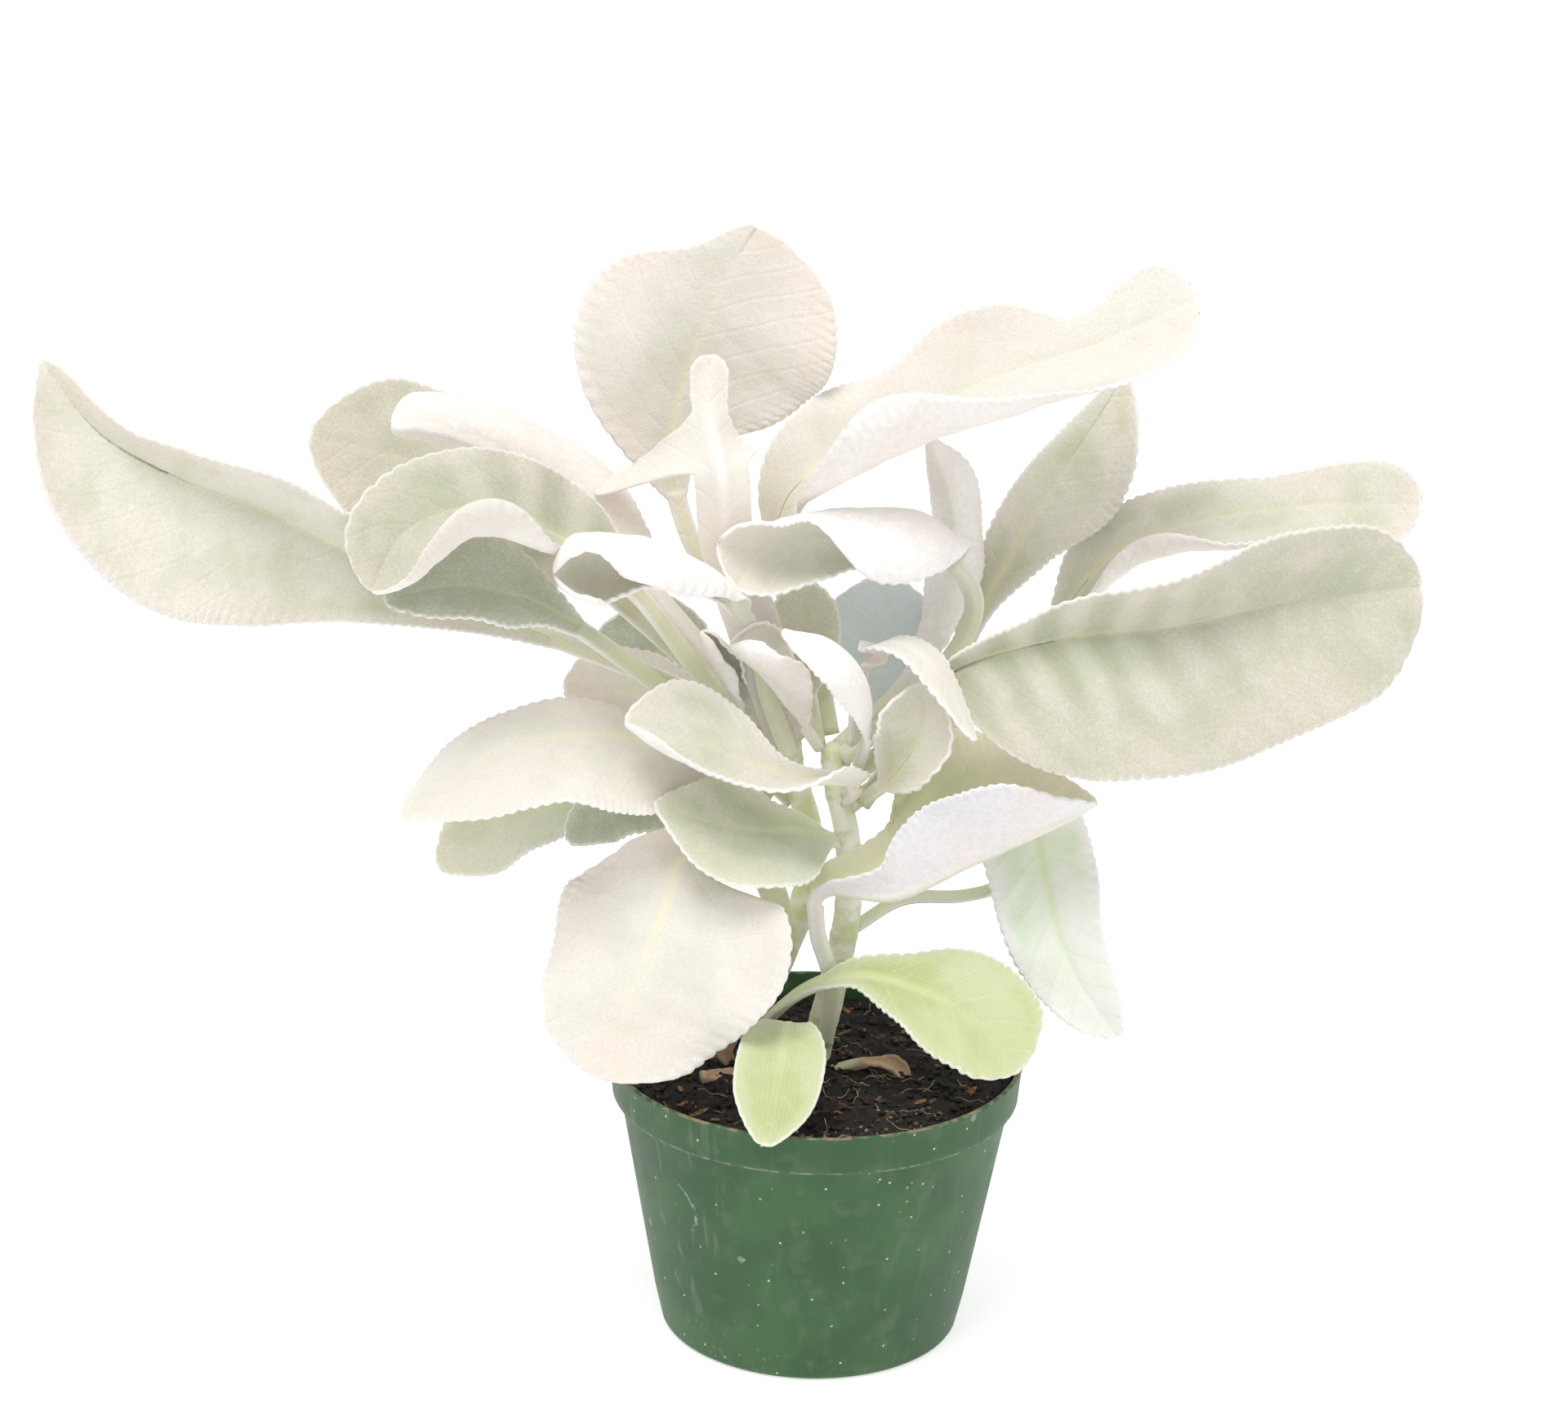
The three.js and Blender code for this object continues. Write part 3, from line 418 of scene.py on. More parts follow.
    def ridged(self, tree: LeafTree, colour: Wire) -> Wire:
        """Returns the colour with painted shade and painted highlight in bands where the blade is
        quilted.

        Args:
            tree: The material's nodes.
            colour: The colour so far.

        Returns:
            The banded colour.
        """
        wander = tree.grain(16.0, 1.0, 0.5) * self.RIDGE_WANDER
        bent = tree.along - tree.across * self.RIDGE_SLANT + wander
        band = tree.maths("PINGPONG", bent, self.RIDGE_HALF_PITCH).fade(1.5, 8.0)
        near = tree.across.fade(14.0, 46.0) * tree.blade.fade(0.35, 0.8) * self.painted_ridge_share
        # Painted shade in the bands, then a painted highlight between them.
        colour = tree.mix(near * band, colour, tone(self.shade, self.RIDGE_PAINTED_SHADE_DIM))
        return tree.mix(near * (1.0 - band) * 0.55, colour, tone(self.margin))

    def near_vein(self, tree: LeafTree) -> Wire:
        """Returns the distance from the nearest side vein, in millimetres along the leaf."""
        slant = tree.along - tree.across * self.VEIN_SLANT
        wander = tree.grain(40.0, 1.0, 0.9) * self.VEIN_WANDER
        return tree.maths("PINGPONG", slant + wander, self.VEIN_HALF_PITCH)

    def on_stalk(self, tree: LeafTree) -> Wire:
        """Returns how much the stalk's tone shows, fading out over the foot of the blade."""
        foot = tree.blade.fade(-0.12, 0.16) * tree.across.fade(9.0, 2.0)
        stalk = tree.blade.fade(-0.3, -0.02)
        return (foot + stalk - foot * stalk) * 0.8


@dataclass(frozen=True)
class PotFinish:
    """Moulded green plastic with dust, water marks, specks and a pale scratch."""

    name: str = "pot_plastic_worn"
    green: Triple = (51, 94, 51)
    deep: Triple = (41, 80, 43)
    dust: Triple = (150, 160, 140)
    dirt: Triple = (140, 118, 88)
    pale_speck: Triple = (206, 214, 200)
    tan_speck: Triple = (176, 156, 120)
    blot: Triple = (150, 172, 150)
    scratched: Triple = (176, 196, 180)
    band_dust: Triple = (160, 165, 140)
    lip_dirt: Triple = (150, 128, 98)

    BAND_FOOT = 0.0922
    BAND_START = (0.0935, 0.0915)
    LIP = (0.1068, 0.1058)
    FOOT = (0.004, 0.022)
    LEFT = (-0.052, -0.012)
    RUN = (1.0, 1.0, 0.12)
    SCRATCH_X = -0.0425
    SCRATCH_Z = 0.0655
    SCRATCH_LEAN = 0.28
    SCRATCH_BOW = 42.0
    GRAIN_DEPTH = 0.00012

    def material(self) -> bpy.types.Material:
        """Returns the plastic."""
        tree = Tree(self.name)
        fine = tree.grain(700.0, 2.0, 0.4)
        x = tree.node("ShaderNodeSeparateXYZ", {}, {0: tree.place}, "X")
        z = x.also("Z")
        shade = tree.grain(30.0, 3.0).fade(0.66, 0.34)
        colour = tree.mix(shade, tone(self.green), tone(self.deep))
        colour = tree.mix(z.fade(*self.BAND_START) * 0.5, colour, tone(self.deep))
        streak = tree.clouds(240.0, 3.0, self.RUN).fade(0.72, 0.56)
        colour = tree.mix(streak * (0.06 + x.fade(*self.LEFT) * 0.16), colour, tone(self.dust))
        dusty = tree.grain(90.0, 4.0, 0.8).fade(0.72, 0.5)
        colour = tree.mix(dusty * 0.14, colour, tone(self.dust))
        foot = z.fade(*self.FOOT) * tree.specks(420.0, 0.3, 0.4, 0.6) * x.fade(-0.01, -0.002)
        step = (z - self.BAND_FOOT).size().fade(0.0002, 0.0011)
        step = step * tree.grain(300.0, 3.0, 0.5).fade(0.62, 0.42)
        lip = z.fade(*self.LIP) * tree.grain(260.0, 3.0, 0.15).fade(0.6, 0.4)
        marks = (
            (tree.specks(260.0, 0.16, 0.16, 0.1), 0.75, self.pale_speck),
            (tree.specks(190.0, 0.14, 0.1, 0.33), 0.8, self.tan_speck),
            (tree.specks(60.0, 0.12, 0.14, 0.21), 0.5, self.blot),
            (self.scratch(tree, x, z), 0.5, self.scratched),
            (foot, 0.7, self.dirt),
            (step, 0.5, self.band_dust),
            (lip, 0.75, self.lip_dirt),
        )
        for mark, share, tint in marks:
            colour = tree.mix(mark * share, colour, tone(tint))
        rough = 0.42 + dusty * 0.2 + fine * 0.12
        normal = tree.bump(fine + streak * 0.4, self.GRAIN_DEPTH, 0.5)
        return tree.finish(colour, rough, normal, IOR=1.48)

    def scratch(self, tree: Tree, x: Wire, z: Wire) -> Wire:
        """Returns the pale curved scratch low on the left of the front.

        Args:
            tree: The material's nodes.
            x: The place across, in metres.
            z: The height, in metres.

        Returns:
            1 on the scratch and 0 off it.
        """
        above = z - self.SCRATCH_Z
        bow = above * above * self.SCRATCH_BOW
        line = (x - self.SCRATCH_X + bow + above * self.SCRATCH_LEAN).size().fade(0.0002, 0.0009)
        span = above.size().fade(0.006, 0.0125)
        return line * span * tree.grain(420.0, 3.0, 0.25).fade(0.62, 0.4)


@dataclass(frozen=True)
class SoilFinish:
    """Near-black potting mix with brown crumbs and pale grit."""

    name: str
    dark: Triple = (14, 11, 9)
    brown: Triple = (36, 27, 20)
    pale: Triple = (120, 86, 56)
    depth: float = 0.0014

    def material(self) -> bpy.types.Material:
        """Returns the crumbly mix."""
        tree = Tree(self.name)
        crumbs = tree.grain(260.0, 4.0)
        grit = tree.grain(900.0, 3.0, 0.3)
        colour = tree.mix(crumbs.fade(0.66, 0.4), tone(self.dark), tone(self.brown))
        colour = tree.mix(tree.specks(420.0, 0.3, 0.12) * 0.8, colour, tone(self.pale))
        normal = tree.bump(crumbs + grit * 0.5, self.depth, 0.9)
        return tree.finish(colour, 0.75 + grit * 0.2, normal)


@dataclass(frozen=True)
class DryFinish:
    """Bark, crumbs, grains or roots: one dry tone mottled with a darker one."""

    name: str
    light: Triple
    dark: Triple
    scale: float = 240.0
    roughness: float = 0.8
    depth: float = 0.0006

    def material(self) -> bpy.types.Material:
        """Returns the dry finish."""
        tree = Tree(self.name)
        mottle = tree.clouds(self.scale, 4.0)
        colour = tree.mix(mottle.fade(0.64, 0.36), tone(self.light), tone(self.dark))
        return tree.finish(colour, self.roughness, tree.bump(mottle, self.depth, 0.8))


@dataclass(frozen=True)
class StemFinish:
    """The pale green stem under its wool, browner where old leaves fell."""

    name: str
    green: Triple = (216, 221, 172)
    wool: Triple = (240, 240, 226)
    scar: Triple = (178, 170, 126)
    roughness: float = 0.85
    depth: float = 0.0004

    def material(self) -> bpy.types.Material:
        """Returns the stem's skin."""
        tree = Tree(self.name)
        patch = tree.grain(120.0, 3.0, 0.6)
        colour = tree.mix(patch.fade(0.62, 0.4), tone(self.green), tone(self.wool))
        colour = tree.mix(tree.own("scar") * 0.4, colour, tone(self.scar))
        normal = tree.bump(tree.grain(900.0, 3.0), self.depth, 0.8)
        return tree.finish(colour, self.roughness, normal, Sheen_Weight=0.4, Sheen_Roughness=0.5)


class Felt(Enum):
    """The tones that the leaves come in, each with its upper face, underside and margin; the shaded
    olive and the pale blue-grey felts are painted shade.
    """

    PALE = FeltFinish(
        "felt_pale_pink", "leaf_felt",
        (230, 225, 217), (205, 204, 185), (236, 221, 210), (240, 236, 232),
        blush_share=0.7,
    )
    SAND = FeltFinish(
        "felt_sand", "leaf_felt",
        (203, 200, 183), (174, 179, 148), (216, 203, 190), (236, 232, 225),
        vein=(214, 213, 176), margin=(243, 239, 234), shade_share=0.8, painted_ridge_share=0.27,
    )
    BEIGE = FeltFinish(
        "felt_beige", "leaf_felt",
        (222, 218, 206), (187, 192, 161), (228, 215, 204), (238, 234, 228),
        vein=(226, 224, 186), shade_share=0.85,
    )
    WHITE = FeltFinish(
        "felt_white", "leaf_pale",
        (226, 223, 210), (196, 198, 178), (238, 226, 217), (250, 247, 245),
        vein=(238, 237, 222), stalk=(218, 220, 192),
    )
    WOOL = FeltFinish(
        "felt_wool", "leaf_pale",
        (231, 227, 218), (216, 211, 198), (236, 221, 211), (240, 234, 227),
        vein=(243, 240, 234), stalk=(234, 226, 216), shade_share=0.3,
    )
    LINED = FeltFinish(
        "felt_white_lined", "leaf_pale",
        (236, 237, 204), (212, 219, 172), (240, 226, 222), (231, 229, 231),
        vein=(224, 222, 190), shade_share=0.8,
    )
    SAGE = FeltFinish(
        "felt_sage", "leaf_sage",
        (210, 213, 190), (181, 191, 154), (218, 208, 190), (228, 226, 214),
        vein=(214, 216, 178), shade_share=0.8,
    )
    MINT = FeltFinish(
        "felt_mint", "leaf_sage",
        (242, 243, 239), (214, 230, 194), (243, 239, 235), (236, 236, 226),
        vein=(216, 226, 168), shade_share=0.95,
    )
    # Painted shade: a pale blue-grey felt whose cool tint stands in for the shade on a leaf deep in the
    # heart.
    BLUE_PAINTED_SHADE = FeltFinish(
        "felt_blue_painted_shade", "leaf_shaded",
        (226, 236, 240), (208, 220, 224), (226, 232, 234), (226, 234, 236),
        vein=(234, 240, 238), margin=(244, 245, 243), blush_share=0.1,
    )
    # Painted shade: a darker grey-olive felt for leaves that lie in shade deep in the plant.
    OLIVE_PAINTED_SHADE = FeltFinish(
        "felt_shaded", "leaf_shaded",
        (192, 197, 178), (158, 170, 143), (190, 186, 166), (196, 200, 182),
        vein=(196, 200, 164), blush_share=0.2, shade_share=0.8,
    )
    GREEN = FeltFinish(
        "felt_green", "leaf_green",
        (200, 208, 168), (173, 187, 119), (208, 205, 146), (206, 212, 172),
        vein=(222, 226, 178), blush_share=0.25, shade_share=0.85, mottle_share=0.35, striped=True,
    )
    DRY = FeltFinish(
        "dried_blade", "dried_leaf",
        (196, 162, 132), (146, 108, 78), (208, 176, 150), (176, 142, 112),
        vein=(204, 176, 136), margin=(196, 168, 140),
    )


# Lines and meshes


@dataclass(frozen=True)
class Eye:
    """The fixed eye that the leaf points are read from, which is also the camera."""

    aim: Triple = (-15.0, 0.0, 239.0)
    reach: float = 1700.0
    rise: float = 19.8
    roll: float = -1.47
    lens: float = 108.88

    def place(self) -> Vector:
        """Returns the eye's place, in millimetres."""
        a = math.radians(self.rise)
        return Vector(self.aim) + self.reach * Vector((0.0, -math.cos(a), math.sin(a)))

    def point(self, across: float, up: float, back: float) -> Vector:
        """Returns where a point read on the plane through the pot's middle really is.

        Args:
            across: Its place across on that plane.
            up: Its height on that plane.
            back: How far behind the plane it is, on the same sight line.

        Returns:
            The point, in millimetres.
        """
        eye = self.place()
        return eye.lerp(Vector((across, 0.0, up)), (back - eye.y) / -eye.y)


EYE = Eye()


class Line:
    """A smooth line through points, asked for places at shares of its length."""

    STEPS = 96
    NEAR = 0.02

    def __init__(self, points: Sequence[Sequence[float]]) -> None:
        """Samples the line.

        Args:
            points: The points it passes through.
        """
        p = np.array(points, float)
        ends = np.vstack([2 * p[0] - p[1], p, 2 * p[-1] - p[-2]])
        t = np.linspace(0, len(p) - 1, self.STEPS + 1)
        i = np.minimum(t.astype(int), len(p) - 2)
        s = (t - i)[:, None]
        self.samples = (
            ends[i] * (-0.5 * s + s**2 - 0.5 * s**3)
            + ends[i + 1] * (1 - 2.5 * s**2 + 1.5 * s**3)
            + ends[i + 2] * (0.5 * s + 2 * s**2 - 1.5 * s**3)
            + ends[i + 3] * (-0.5 * s**2 + 0.5 * s**3)
        )
        steps = np.linalg.norm(np.diff(self.samples, axis=0), axis=1)
        self.lengths = np.concatenate([[0.0], np.cumsum(steps)])
        self.length = float(self.lengths[-1])

    def point(self, share: np.ndarray) -> np.ndarray:
        """Returns the points at shares of the length."""
        want = np.clip(share, 0, 1) * self.length
        return np.stack([np.interp(want, self.lengths, self.samples[:, k]) for k in range(3)], -1)

    def direction(self, share: np.ndarray) -> np.ndarray:
        """Returns the unit directions at shares of the length."""
        ahead = self.point(np.minimum(share + self.NEAR, 1))
        return unit(ahead - self.point(np.maximum(share - self.NEAR, 0)))


def unit(vectors: np.ndarray) -> np.ndarray:
    """Returns vectors made one long."""
    return vectors / np.maximum(np.linalg.norm(vectors, axis=-1, keepdims=True), 1e-9)


def spread(values: Sequence[float], s: np.ndarray) -> np.ndarray:
    """Returns values given at equal steps, joined smoothly and read at shares s."""
    v = np.array(values, float)
    if len(v) == 1:
        return np.full_like(s, v[0])
    ends = np.concatenate([[2 * v[0] - v[1]], v, [2 * v[-1] - v[-2]]])
    t = np.clip(s, 0, 1) * (len(v) - 1)
    i = np.minimum(np.floor(t).astype(int), len(v) - 2)
    f = t - i
    a, b, c, d = ends[i], ends[i + 1], ends[i + 2], ends[i + 3]
    return b + 0.5 * f * (c - a + f * (2 * a - 5 * b + 4 * c - d + f * (3 * (b - c) + d - a)))


def ramp(values: np.ndarray, reach: float) -> np.ndarray:
    """Returns values as shares of a reach, held between 0 and 1."""
    return np.clip(values / reach, 0, 1)


def bell(values: np.ndarray, reach: float) -> np.ndarray:
    """Returns 1 at 0, falling away like a bell over the reach."""
    return np.exp(-((values / reach) ** 2))


def swell(seed: float, across: np.ndarray, along: np.ndarray, length: float) -> np.ndarray:
    """Returns a soft uneven height between about -1 and 1.

    Args:
        seed: Which of the patterns.
        across: Places across, in millimetres.
        along: Places along, in millimetres.
        length: The length of its waves, in millimetres.

    Returns:
        The height at each place.
    """
    made = np.zeros_like(along)
    for k, size in ((1.0, 0.5), (1.7, 0.3), (2.9, 0.2)):
        turn = seed * 1.3 + k * 2.1
        wave = (across * math.cos(turn) + along * math.sin(turn)) * FULL_TURN * k / length
        cross = (across * math.sin(turn) - along * math.cos(turn)) * FULL_TURN * k / (length * 1.3)
        made += size * np.sin(wave + seed * 5.1) * np.cos(cross + seed * 3.7 + k)
    return made


def linked(name: str, bm: bmesh.types.BMesh) -> bpy.types.Object:
    """Returns a new object made of the bmesh, in the scene at the origin.

    Args:
        name: The object's name, and its mesh's.
        bm: Its shape, which is freed.

    Returns:
        The object.
    """
    mesh = bpy.data.meshes.new(name)
    bm.to_mesh(mesh)
    bm.free()
    made = bpy.data.objects.new(name, mesh)
    bpy.context.scene.collection.objects.link(made)
    return made


def sheet(name: str, points: np.ndarray, numbers: dict[str, np.ndarray]) -> bpy.types.Object:
    """Makes one open sheet whose grid of points is already shaped.

    Args:
        name: The object's name.
        points: Rows by columns of points, in millimetres.
        numbers: Numbers to carry at the points, each rows by columns.

    Returns:
        The object, with its normals towards row x column.
    """
    rows, columns = points.shape[:2]
    bm = bmesh.new()
    bmesh.ops.create_grid(bm, x_segments=columns - 1, y_segments=rows - 1, size=1.0)
    piece = linked(name, bm)
    mesh = piece.data
    flat = np.empty(len(mesh.vertices) * 3)
    mesh.vertices.foreach_get("co", flat)
    flat = flat.reshape(-1, 3)
    column = np.rint((flat[:, 0] + 1) / 2 * (columns - 1)).astype(int)
    row = np.rint((flat[:, 1] + 1) / 2 * (rows - 1)).astype(int)
    mesh.vertices.foreach_set("co", (points[row, column] * MM).ravel())
    for key, values in numbers.items():
        mesh.attributes.new(key, "FLOAT", "POINT").data.foreach_set("value", values[row, column].ravel())
    smooth(piece)
    mesh.update()
    return piece


def smooth(piece: bpy.types.Object) -> None:
    """Shades every face of the piece smooth."""
    piece.data.polygons.foreach_set("use_smooth", [True] * len(piece.data.polygons))


def turned(outline: Sequence[tuple[float, float]], sides: int) -> bmesh.types.BMesh:
    """Turns an outline round the upright axis.

    Args:
        outline: Radius and height of each point, from the axis and back to it, in millimetres.
        sides: How many steps the turn has.

    Returns:
        The closed shape.
    """
    bm = bmesh.new()
    dots = [bm.verts.new((r * MM, 0.0, z * MM)) for r, z in outline]
    edges = [bm.edges.new(pair) for pair in zip(dots, dots[1:])]
    bmesh.ops.spin(
        bm, geom=dots + edges, cent=(0, 0, 0), axis=(0, 0, 1), angle=FULL_TURN,
        steps=sides, use_merge=True, use_duplicate=False,
    )
    bmesh.ops.remove_doubles(bm, verts=bm.verts, dist=1e-7)
    bmesh.ops.recalc_face_normals(bm, faces=bm.faces)
    return bm


def creased(piece: bpy.types.Object, angle: float) -> None:
    """Shades edges sharper than the angle, in degrees, as sharp ones."""
    bm = bmesh.new()
    bm.from_mesh(piece.data)
    limit = math.radians(angle)
    for edge in bm.edges:
        edge.smooth = len(edge.link_faces) == 2 and edge.calc_face_angle(0.0) < limit
    bm.to_mesh(piece.data)
    bm.free()


def baked(piece: bpy.types.Object) -> bpy.types.Object:
    """Returns the piece with its modifiers turned into plain mesh."""
    graph = bpy.context.evaluated_depsgraph_get()
    graph.update()
    mesh = bpy.data.meshes.new_from_object(
        piece.evaluated_get(graph), preserve_all_data_layers=True, depsgraph=graph
    )
    old = piece.data
    piece.modifiers.clear()
    piece.data = mesh
    bpy.data.meshes.remove(old)
    return piece


def walled(piece: bpy.types.Object, thickness: float, weights: str) -> bpy.types.Object:
    """Gives a sheet its thickness, with the second material below and the third on the rim.

    Args:
        piece: The sheet.
        thickness: The full thickness, in millimetres.
        weights: The number carried by the mesh that scales the thickness from 0 to 1.

    Returns:
        The same object, now a closed shell.
    """
    wall = piece.modifiers.new("wall", "SOLIDIFY")
    wall.thickness = thickness * MM
    wall.offset = 0.0
    wall.use_rim = True
    wall.material_offset = 1
    wall.material_offset_rim = 2
    group = piece.vertex_groups.new(name=weights)
    for i, value in enumerate(piece.data.attributes[weights].data):
        group.add((i,), max(0.0, min(1.0, value.value)), "REPLACE")
    wall.vertex_group = weights
    wall.thickness_vertex_group = 0.0
    return baked(piece)


def shown(piece: bpy.types.Object, slot: str, *nodes: str) -> bpy.types.Object:
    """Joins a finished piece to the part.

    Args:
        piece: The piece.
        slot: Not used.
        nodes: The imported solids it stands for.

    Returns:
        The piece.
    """
    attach(piece, BODY)
    if nodes:
        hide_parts(*nodes)
    faces = sum(len(p.vertices) - 2 for p in piece.data.polygons)
    LOG.info("%s: %d triangles", piece.name, faces)
    return piece


# Leaves


@dataclass(frozen=True)
class Course:
    """The rows of points that a leaf is drawn on, from the foot of its stalk to its tip.

    The shares are of the blade's length, below 0 on the stalk. The places along start at the
    blade's foot. Each row has its midrib point, its upper face's direction and the one to its
    right.
    """

    seed: float
    length: float
    share: np.ndarray
    along: np.ndarray
    middle: np.ndarray
    face: np.ndarray
    right: np.ndarray


@dataclass(frozen=True)
class Leaf:
    """One leaf: a stalk that widens into a scalloped felt blade, folded, rolled and waved.

    The half widths, folds and curls run from the foot of the blade to its tip, left and right as
    seen along the leaf with its upper face up. What is left out on the right is as on the left.
    Folds and curls are in degrees.
    """

    name: str
    felt: Felt
    line: Points
    start: float
    face: Points
    left: Row
    right: Row = ()
    tip: float = 0.75
    fold: Row = (12, 8, 4)
    fold_left: Row = ()
    fold_right: Row = ()
    curl_left: Row = (0, 0)
    curl_right: Row = ()
    turn: float = 2.0
    wave: float = 10.0
    waves: float = 2.5
    stalk: float = 3.6
    teeth: float = 1.1
    columns: int = 15
    row_step: float = 0.95
    stalk_step: float = 2.6
    tooth_pitch: float = 3.9
    blade_thick: float = 1.5
    rib_thick: float = 4.4
    tip_half: float = 1.0
    swells: float = 0.7
    swell_length: float = 44.0
    crumples: float = 0.22
    crumple_length: float = 13.0
    ridge: float = 0.25
    vein_pitch: float = 13.0
    vein_slant: float = 0.95
    groove_depth: float = 0.55
    groove_reach: float = 1.5
    frill: float = 0.45

    LEFT, RIGHT = -1, 1
    SEEDS, SEED_STEP = 97, 0.37
    ROLL_PARTS = 12
    TOOTH_POWER = 14
    FRILL_POWER = 8
    COLUMN_EASE = 0.62
    TIP_ROWS = 1.4
    BROAD_FROM, BROAD_OVER = 7.0, 8.0
    CURL_FROM, TOOTH_FROM, RELIEF_FROM = 0.15, 0.08, 0.2
    DRIFT, DRIFT_LENGTH = 0.22, 17.0
    BITE, BITE_LENGTH, BITE_POWER = 0.25, 7.0, 1.4
    STEM_MERGE, RIB_REACH = 0.4, 2.6
    LOW_RIB, LOW_RIB_REACH, LOW_RIB_LOSS = 0.9, 1.4, 0.6
    MARGIN_ROUND, MARGIN_LEFT = 0.9, 0.3

    def shares(self, length: float) -> np.ndarray:
        """Returns the rows' places as shares of the leaf's length, closer together at the tip."""
        foot = max(4, int(self.start * length / self.stalk_step))
        stalk = np.linspace(0, self.start, foot, endpoint=False)
        reach = (1 - self.start) * length
        count = max(8, int(reach * self.tip / self.row_step))
        blade = np.linspace(0, self.tip, count, endpoint=False)
        round_rows = max(12, int(reach * (1 - self.tip) / self.row_step * self.TIP_ROWS))
        end = self.tip + (1 - self.tip) * np.sin(np.linspace(0, math.pi / 2, round_rows))
        return np.concatenate([stalk, self.start + (1 - self.start) * np.concatenate([blade, end])])

    def half(self, share: np.ndarray, side: int) -> np.ndarray:
        """Returns the half widths of one side at shares of the blade."""
        row = self.left if side == self.LEFT else self.right or self.left
        wide = spread((self.stalk, *row), share)
        tip = np.sqrt(np.maximum(0, 1 - (np.maximum(share - self.tip, 0) / (1 - self.tip)) ** 2))
        return np.where(share <= 0, self.stalk, np.maximum(wide * tip, self.tip_half))

    def bends(self, share: np.ndarray, side: int) -> tuple[np.ndarray, np.ndarray]:
        """Returns the fold and the further curl of one side at shares of the blade, in radians."""
        fold = (self.fold_left if side == self.LEFT else self.fold_right) or self.fold
        curl = self.curl_left if side == self.LEFT else self.curl_right or self.curl_left
        ripple = self.wave * np.sin(FULL_TURN * self.waves * share + side) * (share > 0)
        further = np.radians(spread(curl, share) + ripple) * ramp(share, self.CURL_FROM)
        return np.radians(spread(fold, share)), further

    def course(self) -> Course:
        """Returns the rows that the leaf is drawn on."""
        seed = sum(ord(c) for c in self.name) % self.SEEDS * self.SEED_STEP
        line = Line([EYE.point(*p) for p in self.line])
        rows = self.shares(line.length)
        share = (rows - self.start) / (1 - self.start)
        along = (rows - self.start) * line.length
        tangent = line.direction(rows)
        faces = unit(np.array(self.face, float))
        face = np.stack([spread(faces[:, k], share) for k in range(3)], -1)
        face = unit(face - tangent * (face * tangent).sum(-1, keepdims=True))
        right = np.cross(tangent, face)
        return Course(seed, line.length, share, along, line.point(rows), face, right)

    def build(self) -> bpy.types.Object:
        """Builds the leaf and dresses it.

        Returns:
            The finished leaf.
        """
        course = self.course()
        left, right = self.side(course, self.LEFT), self.side(course, self.RIGHT)
        points, across, edge, thick = (
            np.concatenate([a[:, :0:-1], b], axis=1) for a, b in zip(left, right)
        )
        numbers = {
            "across": across,
            "along": np.broadcast_to(course.along[:, None], across.shape).copy(),
            "blade": np.broadcast_to(np.clip(course.share, -1, 1)[:, None], across.shape).copy(),
            "edge": edge,
            "thick": thick / self.rib_thick,
        }
        piece = sheet(self.name + "_felt", points, numbers)
        for made in dressed(self.felt.value):
            piece.data.materials.append(made)
        return shown(walled(piece, self.rib_thick, "thick"), self.felt.value.slot, self.name)

    def side(
        self, course: Course, side: int
    ) -> tuple[np.ndarray, np.ndarray, np.ndarray, np.ndarray]:
        """Shapes one side of the leaf, from the midrib to the margin.

        Args:
            course: The leaf's rows.
            side: LEFT or RIGHT.

        Returns:
            The points, their places across, their distances to the margin and the thickness.
        """
        share = course.share
        step = np.arange(self.columns + 1) / self.columns
        eased = step * step * (3 - 2 * step)
        column = eased * self.COLUMN_EASE + step * (1 - self.COLUMN_EASE)
        fold, curl = self.bends(share, side)
        half = self.half(share, side)
        beat = self.beat(course, side)
        width = self.scalloped(course, half, beat, column)
        parts = (np.arange(self.ROLL_PARTS) + 0.5) / self.ROLL_PARTS
        on_way = column[:, None] * parts[None, :]
        angle = fold[:, None, None] + curl[:, None, None] * on_way[None] ** self.turn
        out = side * (np.cos(angle).mean(-1) * width * column)
        up = np.sin(angle).mean(-1) * width * column
        end = fold[:, None] + curl[:, None] * column[None, :] ** self.turn
        face, right = course.face[:, None], course.right[:, None]
        normal = face * np.cos(end)[..., None] - right * side * np.sin(end)[..., None]
        at = course.middle[:, None] + right * out[..., None] + face * up[..., None]

        across = width * column
        tip_reach = (1 - np.clip(share, 0, 1)) * course.length * (1 - self.start)
        edge = np.minimum(across[:, -1:] - across, tip_reach[:, None])
        broad = np.clip((half - self.BROAD_FROM) / self.BROAD_OVER, 0, 1)[:, None]
        height = self.relief(course, side, across, edge)
        height += self.frill * np.sin(beat * 2)[:, None] * column[None, :] ** self.FRILL_POWER
        height -= self.groove_depth * bell(across, self.groove_reach) * broad
        at = at + normal * (height * ramp(share, self.RELIEF_FROM)[:, None])[..., None]
        return at, side * across, edge, self.thickness(share, across, edge, broad)

    def beat(self, course: Course, side: int) -> np.ndarray:
        """Returns the running phase of the margin's scallops, a notch at each half turn."""
        uneven = 1 + self.DRIFT * np.sin(course.along / self.DRIFT_LENGTH + course.seed + side)
        steps = np.diff(course.along, prepend=course.along[0])
        return np.cumsum(steps / (self.tooth_pitch * uneven)) * math.pi + course.seed

